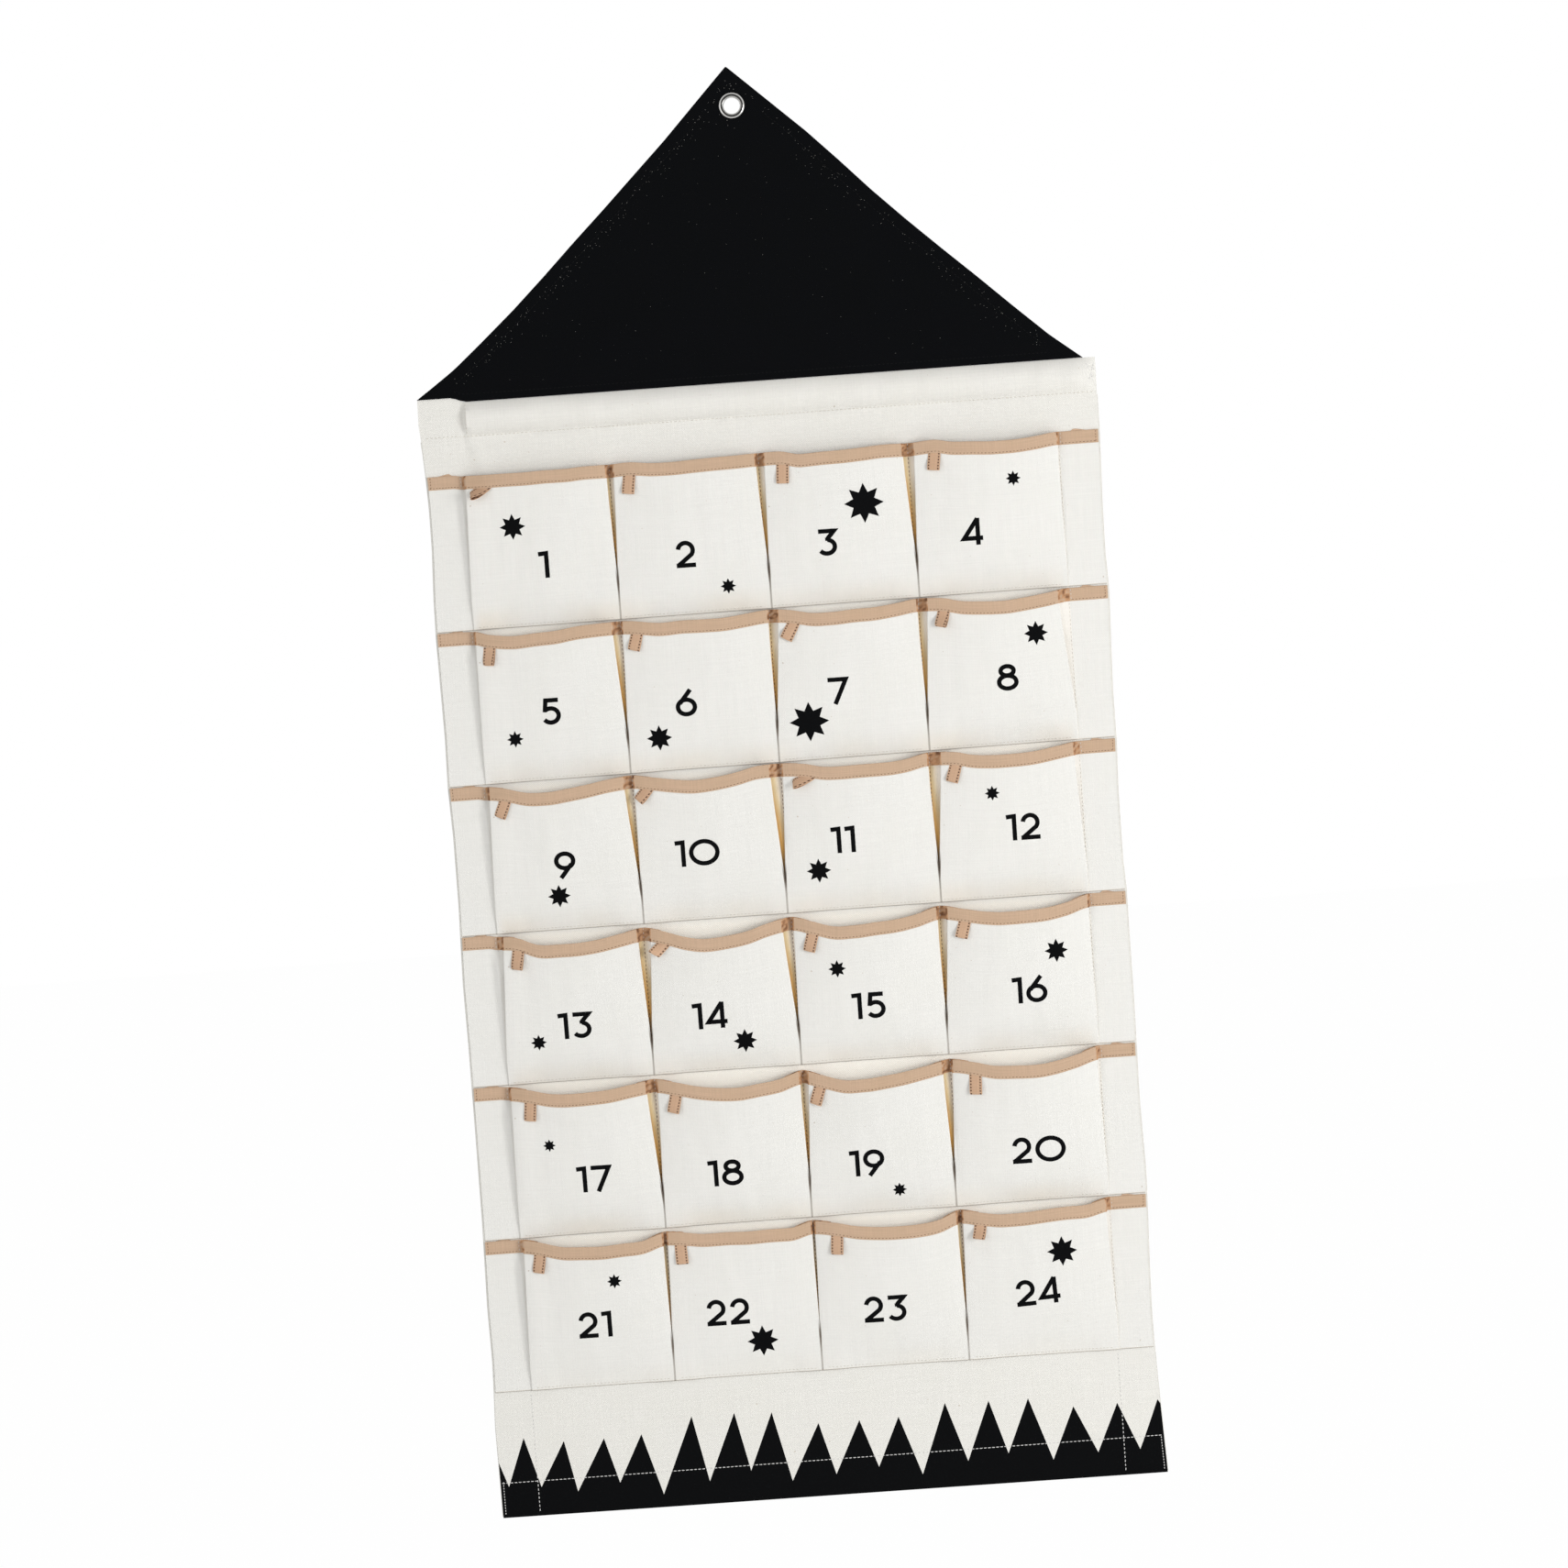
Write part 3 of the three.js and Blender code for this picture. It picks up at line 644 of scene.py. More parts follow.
def front_middle(row, pocket, x, level):
    """The middle of the front cloth, which lies on the pleats at its sides and on the panel along its foot"""
    sizes = cloth_sizes()
    divider = min(x - DIVIDERS[pocket] * MM, DIVIDERS[pocket + 1] * MM - x)
    beyond_pleat = smooth_step(sizes.pleat, sizes.pleat + 0.012, divider)
    settled = beyond_pleat * smooth_step(0.80, 1.0, level)
    return base_out(level) + 2 * pile(level) * (1 - settled) + swell(row, pocket, x, level)


def cloth_height(row, x, level):
    return mix(row_top(row, x) - sag(row, x), row_foot(row, x), level)


def front_out(row, pocket, x, z):
    """The outer face of a pocket's front at a place on the panel"""
    top = row_top(row, x) - sag(row, x)
    level = min(max((top - z) / (top - row_foot(row, x)), 0), 1)
    return front_middle(row, pocket, x, level) + pocket_half()


def fold_gap(row, pocket, side, level):
    """From a divider to the front fold beside it: side is -1 for a pocket's left fold and 1 for its right one"""
    least = 1.6
    measured = side * (DIVIDERS[pocket + (side > 0)] - FOLDS[row][pocket][side > 0])
    closed_gap = CLOSED_GAP - side * FOLD_TIPS[row][pocket + (side > 0)] * MM
    return mix(max(measured, least) * MM, closed_gap, min(1.0, free_level(level) / FOLDS_MEET))


def gap_depth(row, pocket, side, x, level):
    """How much painted shade the cloth in the gap beside a pocket gets, the least of it a painted highlight: least by
    the right-hand pocket, and most low down
    """
    neighbour = pocket + side
    if not 0 <= neighbour < POCKETS_PER_ROW:
        # At the panel's outer dividers the painted shade is slight
        left_end, right_end = 0.03, 0.1
        return left_end if side < 0 else right_end
    free = free_level(level)
    ours, theirs = fold_gap(row, pocket, side, level), fold_gap(row, neighbour, -side, level)
    divider = DIVIDERS[pocket + (side > 0)] * MM
    across = (x - divider + (ours if side > 0 else theirs)) / (ours + theirs)
    low = smooth_step(0.05, 0.7, free)
    deepest = mix(0.56, 0.80, smooth_step(0.0, 0.5, free)) + 0.20 * smooth_step(0.45, 0.72, free)
    return deepest * mix(1, mix(0.4, 0.94, low), smooth_step(0.0, 1.0, across))


def crowded(count, strength):
    """Shares from 0 to 1, closer together at both ends"""
    shares = [k / count for k in range(count + 1)]
    return [mix(share, (1 - math.cos(math.pi * share)) / 2, strength) for share in shares]


def pocket_bends(row, pocket, level):
    """A pocket's cloth at a level, from divider to divider: (x, out, how much painted shade the pleat gets, below 0
    for the painted dark line where two folds close on each other)"""
    sizes = cloth_sizes()
    left, right = DIVIDERS[pocket] * MM, DIVIDERS[pocket + 1] * MM
    base, step, free = base_out(level), pile(level), free_level(level)
    pressed = 1 - smooth_step(0.02, 0.30, free)
    # How strongly the painted dark line shows where two folds close on each other
    closing = smooth_step(0.60, 0.73, free) * mix(0.95, 0.5, smooth_step(0.73, 0.92, free))
    closed = closing * (pocket > 0), closing * (pocket < POCKETS_PER_ROW - 1)

    def side_bends(side):
        divider = right if side > 0 else left
        inward = -side
        gap = fold_gap(row, pocket, side, level)
        tip_x, fold_x = divider + inward * sizes.pleat, divider + inward * gap
        start_out = base + side_lift(pocket, divider, level)
        tip_out = base + pressed * swell(row, pocket, tip_x, level)
        fold_out = base + swell(row, pocket, fold_x, level) + step
        shares = [k / 6 for k in range(7)]
        bends = []
        for share in shares:
            x = divider + inward * sizes.pleat * share
            bends.append((x, mix(start_out, tip_out, share), gap_depth(row, pocket, side, x, level)))
        hidden = bends[-1][2]
        bends += turn(tip_x, tip_out, step, inward, hidden)
        for share in shares[1:-1]:
            bends.append((mix(tip_x, fold_x, share), mix(tip_out + step, fold_out, share), hidden))
        # The fold's round end gets a faint painted highlight, and the painted dark line where it closes on its
        # neighbour
        bends += turn(fold_x, fold_out, step, -inward, mix(0.1 * hidden, -1.0, closed[side > 0]))
        return bends

    left_side = side_bends(-1)
    right_side = side_bends(1)[::-1]
    start, end = left_side[-1][0], right_side[0][0]
    beside = 0.00022
    # The painted dark line runs on beside each fold where the folds close
    front = [(start + beside, -closed[0]), (start + 2 * beside, 0.0)]
    front += [(mix(start, end, share), 0.0) for share in crowded(38, 0.35)[1:-1]]
    front += [(end - 2 * beside, 0.0), (end - beside, -closed[1])]
    front = [(x, front_middle(row, pocket, x, level), painted_shading) for x, painted_shading in front]
    return left_side + front + right_side


def turn(x, out, step, direction, painted_shading):
    """The round end of a fold, from one layer to the next one out"""
    bends = []
    for k in range(5):
        angle = math.pi * k / 4
        bulge = direction * step / 2 * math.sin(angle)
        bends.append((x + bulge, out + step / 2 * (1 - math.cos(angle)), painted_shading))
    return bends


def strip_line(row, level):
    """The whole strip's cloth at a level: (x, out, z, how much painted shade the pleat gets), from left to right"""
    half = cloth_sizes().panel_width / 2 - 0.001
    base = base_out(level)
    first, last = DIVIDERS[0] * MM, DIVIDERS[-1] * MM
    pulled = side_lift(0, first, level)
    start = first - mix(0.0074, 0.003, free_level(level))
    left = [mix(-half, first - 0.0006, 1 - (1 - k / 14) ** 1.4) for k in range(15)]
    right = [mix(last + 0.001, half, k / 7) for k in range(8)]
    bends = [(x, base + pulled * smooth_step(start, first, x), 0.0) for x in left]
    for pocket in range(POCKETS_PER_ROW):
        bends += pocket_bends(row, pocket, level)
    bends += [(x, base, 0.0) for x in right]
    return [(x, out, cloth_height(row, x, level), painted_shading) for x, out, painted_shading in bends]


def running_lengths(points):
    lengths = [0.0]
    for before, after in zip(points, points[1:]):
        lengths.append(lengths[-1] + (Vector(after) - Vector(before)).length)
    return lengths


# Materials


class NodeMaker:
    """Builds one material's nodes"""

    def __init__(self, name):
        self.material = bpy.data.materials.new(name)
        self.material.use_nodes = True
        self.tree = self.material.node_tree
        self.shader = self.tree.nodes["Principled BSDF"]

    def add(self, kind, inputs=(), **settings):
        node = self.tree.nodes.new(kind)
        for key, value in settings.items():
            setattr(node, key, value)
        for socket, value in dict(inputs).items():
            self.feed(node.inputs[socket], value)
        return node

    def feed(self, socket, value):
        if isinstance(value, bpy.types.NodeSocket):
            self.tree.links.new(value, socket)
        else:
            socket.default_value = value

    def math(self, operation, first, second=0.0, third=0.0):
        node = self.add("ShaderNodeMath", {0: first, 1: second}, operation=operation)
        if operation == "MULTIPLY_ADD":
            self.feed(node.inputs[2], third)
        return node.outputs[0]

    def blend(self, share, first, second):
        node = self.add("ShaderNodeMix", data_type="RGBA")
        self.feed(node.inputs["Factor"], share)
        for socket, value in zip([s for s in node.inputs if s.type == "RGBA"], (first, second)):
            self.feed(socket, value if isinstance(value, bpy.types.NodeSocket) else (*value, 1))
        return next(s for s in node.outputs if s.type == "RGBA")

    def noise(self, place, scale, detail):
        settings = {"Vector": place, "Scale": scale, "Detail": detail}
        return self.add("ShaderNodeTexNoise", settings).outputs["Fac"]

    def bump(self, height, strength, distance):
        settings = {"Strength": strength, "Distance": distance, "Height": height}
        return self.add("ShaderNodeBump", settings).outputs["Normal"]

    def tint(self, name):
        """A mesh's own tint"""
        return self.add("ShaderNodeAttribute", attribute_name=name).outputs["Fac"]

    def place(self, kind):
        return self.add("ShaderNodeTexCoord").outputs[kind]

    def stretched(self, place, x, y, z=1.0):
        return self.add("ShaderNodeMapping", {"Vector": place, "Scale": (x, y, z)}).outputs["Vector"]

    def spread(self, value, low, high, to_low=0.0, to_high=1.0):
        node = self.add(
            "ShaderNodeMapRange",
            {"Value": value, "From Min": low, "From Max": high, "To Min": to_low, "To Max": to_high},
        )
        return node.outputs["Result"]

    def shade(self, **inputs):
        for name, value in inputs.items():
            socket = self.shader.inputs[name.replace("_", " ")]
            self.feed(socket, (*value, 1) if name == "Base_Color" and isinstance(value, tuple) else value)
        return self.material


def weave_height(maker, across, along, pitch):
    """Plain weave: threads that pass over and under each other"""
    turn_across = maker.math("SINE", maker.math("MULTIPLY", across, math.pi / pitch))
    turn_along = maker.math("SINE", maker.math("MULTIPLY", along, math.pi / pitch))
    return maker.math("MULTIPLY", turn_across, turn_along)


def darker(colour, share):
    return tuple(channel * share for channel in colour)


def woven(name, colour, pitch, slub, pleat=(), specks=0.0, foot=None, mark=None, gloss=0.2):
    """Woven cloth on the piece's own UV map, which is in metres. pleat lists its painted light and shade tones from
    shallow to deep, foot is its painted shade along a sewn foot, and mark adds stitches to its colour and relief"""
    maker = NodeMaker(name)
    place = maker.place("UV")
    split = maker.add("ShaderNodeSeparateXYZ", {"Vector": place})
    across, along = split.outputs["X"], split.outputs["Y"]
    weave = weave_height(maker, across, along, pitch)
    per_thread, along_thread = 1 / pitch / 1.3, 22
    warp = maker.noise(maker.stretched(place, per_thread, along_thread), scale=1.0, detail=2.0)
    weft = maker.noise(maker.stretched(place, along_thread, per_thread), scale=1.0, detail=2.0)
    threads = maker.math("ADD", warp, weft)
    mottle = maker.noise(place, scale=26.0, detail=3.0)
    dark = darker(colour, 1 - slub)
    light = tuple(min(1.0, channel * (1 + slub * 0.8)) for channel in colour)
    shade = maker.blend(maker.spread(threads, 0.72, 1.28), dark, light)
    worn = darker(colour[:2], 1 - slub * 0.7) + darker(colour[2:], 1 - slub * 1.3)
    shade = maker.blend(maker.spread(mottle, 0.40, 0.85, 0.0, 0.55), shade, worn)
    # Painted shade along the pockets' feet, and a painted shadow line under the folded edge
    if foot:
        foot_shade_share = maker.tint("foot")
        shade = maker.blend(maker.spread(foot_shade_share, 0, 1), shade, foot)
        shade = maker.blend(maker.spread(foot_shade_share, 1, 2), shade, FOOT_EDGE_SHADOW)
    # The mesh's pleat tint: painted light and shade, in the pleat tones from shallow to deep
    painted_shading = maker.tint("pleat")
    for k, tone in enumerate(pleat):
        shade = maker.blend(maker.spread(painted_shading, k / len(pleat), (k + 1) / len(pleat)), shade, tone)
    # Below 0 the pleat tint paints the dark line where two folds close
    if foot:
        shade = maker.blend(maker.spread(maker.math("MULTIPLY", painted_shading, -1.0), 0, 1), shade, pleat[-1])
    if specks:
        grain = maker.noise(place, scale=330.0, detail=0.0)
        shade = maker.blend(maker.spread(grain, specks, specks + 0.03, 0.0, 0.4), shade, SEED_SPECK)
    height = maker.math("MULTIPLY_ADD", threads, 0.9, weave)
    if mark:
        stitches = mark(maker, across, along)
        shade = maker.blend(stitches, shade, darker(colours().brown_thread, 0.5))
        height = maker.math("MULTIPLY_ADD", stitches, 1.6, height)
    bump = maker.bump(height, strength=0.55, distance=0.00016)
    rough = maker.spread(threads, 0.6, 1.4, 0.82, 0.97)
    return maker.shade(Base_Color=shade, Roughness=rough, Normal=bump, Specular_IOR_Level=gloss)


def ribbon_stitches(width, pitch):
    """Stitches down both edges of a ribbon"""
    from_edge = 0.0011

    def mark(maker, across, along):
        inset = maker.math("ABSOLUTE", maker.math("SUBTRACT", across, width / 2))
        off_line = maker.math("ABSOLUTE", maker.math("SUBTRACT", inset, width / 2 - from_edge))
        on_line = maker.spread(off_line, 0.00042, 0.00066, 1.0, 0.0)
        beat = maker.math("FRACT", maker.math("DIVIDE", along, pitch))
        return maker.math("MULTIPLY", on_line, maker.math("LESS_THAN", beat, 0.5))

    return mark


def printed(name, colour):
    maker = NodeMaker(name)
    place = maker.place("Object")
    fibres = maker.noise(place, scale=900.0, detail=3.0)
    worn = tuple(channel * 1.6 + 0.002 for channel in colour)
    shade = maker.blend(maker.spread(fibres, 0.52, 0.80, 0.0, 0.5), colour, worn)
    bump = maker.bump(fibres, strength=0.3, distance=0.0001)
    return maker.shade(Base_Color=shade, Roughness=0.8, Normal=bump, Specular_IOR_Level=0.05)


def spun_thread(name, colour):
    maker = NodeMaker(name)
    place = maker.place("Object")
    ply = maker.noise(place, scale=2600.0, detail=1.0)
    shade = maker.blend(maker.spread(ply, 0.35, 0.65), darker(colour, 0.72), colour)
    bump = maker.bump(ply, strength=0.4, distance=0.0001)
    return maker.shade(Base_Color=shade, Roughness=0.7, Normal=bump, Specular_IOR_Level=0.15)


def plated(name, colour):
    """Plated metal with painted dark shade in the valley between rim and barrel, round the Y axis"""
    maker = NodeMaker(name)
    place = maker.place("Object")
    flat = maker.add("ShaderNodeVectorMath", {0: place, 1: (1, 0, 1)}, operation="MULTIPLY").outputs["Vector"]
    radius = maker.add("ShaderNodeVectorMath", {0: flat}, operation="LENGTH").outputs["Value"]
    haze = maker.noise(place, scale=420.0, detail=4.0)
    scratches = maker.noise(maker.stretched(place, 300.0, 40.0, 2600.0), scale=1.0, detail=2.0)
    shade = maker.blend(maker.spread(haze, 0.45, 0.8, 0.0, 0.6), colour, darker(colour, 0.72))
    # Painted shade: a near-black ring in the valley between rim and barrel
    valley_radius = 0.0079
    off_valley = maker.math("ABSOLUTE", maker.math("SUBTRACT", radius, valley_radius))
    shade = maker.blend(maker.spread(off_valley, 0.0006, 0.0010, 0.95, 0.0), shade, VALLEY_SHADE)
    bump = maker.bump(scratches, strength=0.12, distance=0.0001)
    rough = maker.spread(haze, 0.3, 0.7, 0.16, 0.32)
    return maker.shade(Base_Color=shade, Roughness=rough, Metallic=1.0, Normal=bump)


def sanded_wood(name, colour):
    maker = NodeMaker(name)
    place = maker.place("Object")
    grain = maker.noise(maker.stretched(place, 6.0, 420.0, 420.0), scale=1.0, detail=4.0)
    shade = maker.blend(maker.spread(grain, 0.35, 0.7), colour, darker(colour, 0.62))
    bump = maker.bump(grain, strength=0.25, distance=0.0002)
    return maker.shade(Base_Color=shade, Roughness=0.62, Normal=bump)


FINISHES = {}


def finish_makers():
    """How each finish is made: its function, its colour's name and its settings"""
    paint = {key: tuple(getattr(colours(), key)) for key in Colours.__annotations__}
    canvas = {"pitch": 0.0008, "slub": 0.035, "specks": 0.86}
    # The pleat tones: a painted highlight and painted shade inside the pleats
    pleats = tuple(paint[f"pleat_{tone}"] for tone in ("lit", "pale", "gold", "dark"))
    # The tape's painted fold shade
    tape_fold_shades = paint["tape_pale"], paint["tape_dark"]
    stitches = ribbon_stitches(cloth_sizes().ribbon_width, 0.0023)
    return paint, {
        "black canvas": (woven, "black_canvas", {"pitch": 0.0008, "slub": 0.20, "gloss": 0.06}),
        # On the panel the pleat tint paints light on the cloth above the mouths
        "cream canvas": (woven, "cream_canvas", {**canvas, "pleat": (paint["behind_mouth"],)}),
        "panel back": (woven, "cream_canvas", canvas),
        "foot back": (woven, "cream_canvas", canvas),
        # The pocket cloth carries painted highlight and shade in its pleats and painted shade along its foot
        "pocket cloth": (
            woven,
            "pocket_cloth",
            {"pitch": 0.0007, "slub": 0.03, "specks": 0.86, "pleat": pleats, "foot": paint["foot_cloth"]},
        ),
        "tan tape": (woven, "tape", {"pitch": 0.0006, "slub": 0.10, "pleat": tape_fold_shades}),
        "tan ribbon": (woven, "ribbon", {"pitch": 0.0006, "slub": 0.10, "mark": stitches}),
        "print": (printed, "print_black", {}),
        "cream thread": (spun_thread, "cream_thread", {}),
        "white thread": (spun_thread, "white_thread", {}),
        "brown thread": (spun_thread, "brown_thread", {}),
        "black thread": (spun_thread, "black_thread", {}),
        "lint": (spun_thread, "lint", {}),
        "nickel": (plated, "nickel", {}),
        "wood": (sanded_wood, "wood", {}),
    }


def finish(name):
    """Each finish, made once"""
    if name not in FINISHES:
        paint, makers = finish_makers()
        maker, colour, settings = makers[name]
        FINISHES[name] = maker(name, paint[colour], **settings)
    return FINISHES[name]


# Roof


def roof_out(x, z):
    """How far the roof's middle strays from flat"""
    eyelet_x, eyelet_z, flat_round_it = -0.003, 0.211, 0.02
    off_eyelet = (x - eyelet_x) ** 2 + (z - eyelet_z) ** 2
    still = smooth_step(0.0, 0.05, z) * (1 - math.exp(-off_eyelet / flat_round_it**2))
    return 0.0014 * ripple(x, z, wavelength=0.15, seed=8.2) * still


def roof_rise(x, z):
    return seam_rise(x) * smooth_step(0.03, 0.0, z)


def roof_reach(z):
    return between(ROOF_EDGES, z, 1), between(ROOF_EDGES, z, 2)


def inside_roof_edge(z, edge, inset):
    """How far right a place is that lies inside the left edge, 1, or the right edge, 2"""
    return between(ROOF_EDGES, z, edge) + (inset if edge == 1 else -inset)


def roof_edge_distance(x, z):
    """To the nearer sloping edge, which slopes at about 45 degrees"""
    left, right = roof_reach(z)
    return min(x - left, right - x) * 0.707


def roof_layer(name, side):
    """One layer of the roof: side is 1 for the front layer and -1 for the back one"""
    eyelet_x, eyelet_z = -SEAM.x, -SEAM.z
    # Rows 4 mm apart, and 1.5 mm apart by the eyelet and the tip
    heights = [0.0008 + 0.004 * k for k in range(49)]
    heights += [0.1935 + 0.0015 * k for k in range(30)]
    heights = [z for z in heights if z < 0.2385] + [0.2392, 0.2406]
    topstitch, bare_eyelet = 0.010, 0.0078
    rows, uvs = [], []
    for z in heights:
        left, right = roof_reach(z)
        row, row_uvs = [], []
        for share in crowded(96, 0.5):
            x = mix(left, right, share)
            edge = max(0.0, min(roof_edge_distance(x, z), (z + 0.002)))
            sewn = smooth_step(0.0, 0.006, edge)
            seam_dip = math.exp(-(((edge - topstitch) / 0.0012) ** 2))
            flat_here = math.exp(-(math.hypot(x - eyelet_x, z - eyelet_z) / 0.014) ** 4)
            apart = mix(0.00042, 0.00075 - 0.00022 * seam_dip, sewn)
            apart = mix(apart, 0.00055, flat_here)
            out = side * apart + roof_out(x, z)
            row.append(Vector((SEAM.x + x, -out, SEAM.z + z + roof_rise(x, z))))
            row_uvs.append((x, z))
        rows.append(row)
        uvs.append(row_uvs)

    def clear_of_eyelet(i, j):
        x = sum(uvs[a][b][0] for a, b in ((i, j), (i, j + 1), (i + 1, j), (i + 1, j + 1))) / 4
        z = (uvs[i][j][1] + uvs[i + 1][j][1]) / 2
        return math.hypot(x - eyelet_x, z - eyelet_z) > bare_eyelet

    piece = grid_piece(name, rows, uvs, keep=clear_of_eyelet)
    return thicken(piece, cloth_sizes().cloth)


class MakeRoof(bpy.types.Operator):
    """Make the roof's two layers of black canvas"""

    bl_idname = "calendar.roof"
    bl_label = "Roof"

    def execute(self, context):
        for node, side in (("roof_front", 1), ("roof_back", -1)):
            layer = roof_layer(f"{node}_cloth", side)
            dress(layer, "roof", finish("black canvas"))
            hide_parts(node)
        return {"FINISHED"}


# Eyelet


def spun_ring(name, profile):
    """A metal ring turned round the eyelet's axis from an outline of (radius, y)"""
    mesh = bpy.data.meshes.new(name)
    points = [(radius, y, 0.0) for radius, y in profile]
    count = len(points)
    mesh.from_pydata(points, [(k, (k + 1) % count) for k in range(count)], [])
    ring = link(name, mesh)
    edit_all(
        ring,
        (bpy.ops.mesh.spin, {"steps": 96, "angle": 2 * math.pi, "center": (0, 0, 0), "axis": (0, 1, 0)}),
        (bpy.ops.mesh.remove_doubles, {"threshold": 0.000002}),
        (bpy.ops.mesh.normals_make_consistent, {"inside": False}),
    )
    edge = ring.modifiers.new("Edge", "BEVEL")
    edge.width = 0.00012
    edge.segments = 2
    edge.limit_method = "ANGLE"
    edge.angle_limit = math.radians(40)
    bpy.ops.object.modifier_apply(modifier=edge.name)
    bpy.ops.object.shade_smooth_by_angle(angle=math.radians(45))
    return ring


class MakeEyelet(bpy.types.Operator):
    """Make the nickel eyelet and the washer behind it"""

    bl_idname = "calendar.eyelet"
    bl_label = "Eyelet"

    def execute(self, context):
        low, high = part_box("eyelet")
        rim = high.x
        bore = 0.00625
        wall = 0.0004
        face = low.y + 0.0014
        crest = (bore + rim) / 2
        dome = arc(crest, face, rim - crest, face - low.y, 0, -180, 14)
        back = high.y
        inner = [(bore, mix(face, back, k / 4)) for k in range(1, 5)]
        curl_reach, curl_depth = 0.0011, 0.0006
        curl = arc(bore + curl_reach, back - curl_depth, curl_reach, curl_depth, 90, -60, 5)
        under = [(bore + wall, back - curl_depth), (bore + wall, face + 0.0001), (crest, face - 0.0004)]
        eyelet = spun_ring("eyelet_metal", dome + inner + curl + under)
        dress(eyelet, "roof", finish("nickel"))
        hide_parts("eyelet")
        low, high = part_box("eyelet_washer")
        hole = 0.00695
        round_x, round_y = 0.0005, 0.0004
        disc = [(hole, low.y), (high.x, low.y), (high.x, high.y - round_y)]
        disc += arc(high.x - round_x, high.y - round_y, round_x, round_y, 0, 90, 3)
        disc += [(hole + 0.0006, high.y), (hole, high.y - 0.0002)]
        washer = spun_ring("washer_metal", disc)
        dress(washer, "roof", finish("nickel"))
        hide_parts("eyelet_washer")
        return {"FINISHED"}


# Panel


def rod_share(x):
    """How much of the rod's swell stands at a place: none beyond its stopped ends"""
    start, left_full, right_full, end = ROD_STOPS
    return smooth_step(start, left_full, x) * smooth_step(-end, -right_full, -x)


def channel_out(x, fall):
    """How far the channel's front stands out, at a share of the way down it"""
    sizes = cloth_sizes()
    across = hump(fall)
    patches = smooth_step(-0.35, 0.25, ripple(x, 0, wavelength=0.09, seed=2.5))
    soft = 0.0011 * ripple(x, fall * 0.008, wavelength=0.011, seed=5.5) * patches
    soft += 0.0010 * ripple(x, fall * 0.02, wavelength=0.055, seed=6.5)
    return (sizes.channel_swell * across**0.75 + soft * across) * rod_share(x)


def creases_out(x, z):
    """The pulled creases at the rod's stopped end and a few soft ones across the band"""
    out = 0.0
    for x1, z1, x2, z2, height, width in CREASES:
        way = Vector(((x2 - x1) * MM, (z2 - z1) * MM))
        reach = Vector((x - x1 * MM, z - z1 * MM))
        share = reach.dot(way) / way.length_squared
        if -0.3 < share < 1.3:
            off_line = abs(reach.x * way.y - reach.y * way.x) / way.length
            ends = smooth_step(-0.3, 0.2, share) * smooth_step(1.3, 0.8, share)
            out += height * MM * math.exp(-((off_line / (width * MM)) ** 2)) * ends
    return out


def panel_out(x, z):
    """The front face of the panel"""
    sizes = cloth_sizes()
    fall = -z / sizes.channel
    out = channel_out(x, fall) if 0 < fall < 1 else creases_out(x, z)
    return out + sizes.cloth / 2


def zigzag_height(x):
    return between(ZIGZAG, x, 1)


def panel_columns():
    """Where the panel's mesh has its columns: at its sides, the zigzag's corners and the rod's ends, and between"""
    half, apart, clear = cloth_sizes().panel_width / 2, 0.0052, 0.0022
    columns = [-half, half, *(x * MM for x, _ in ZIGZAG[1:-1]), *ROD_END_COLUMNS]
    x = -half
    while x < half:
        if all(abs(x - column) > clear for column in columns):
            columns.append(x)
        x += apart
    return sorted(columns)


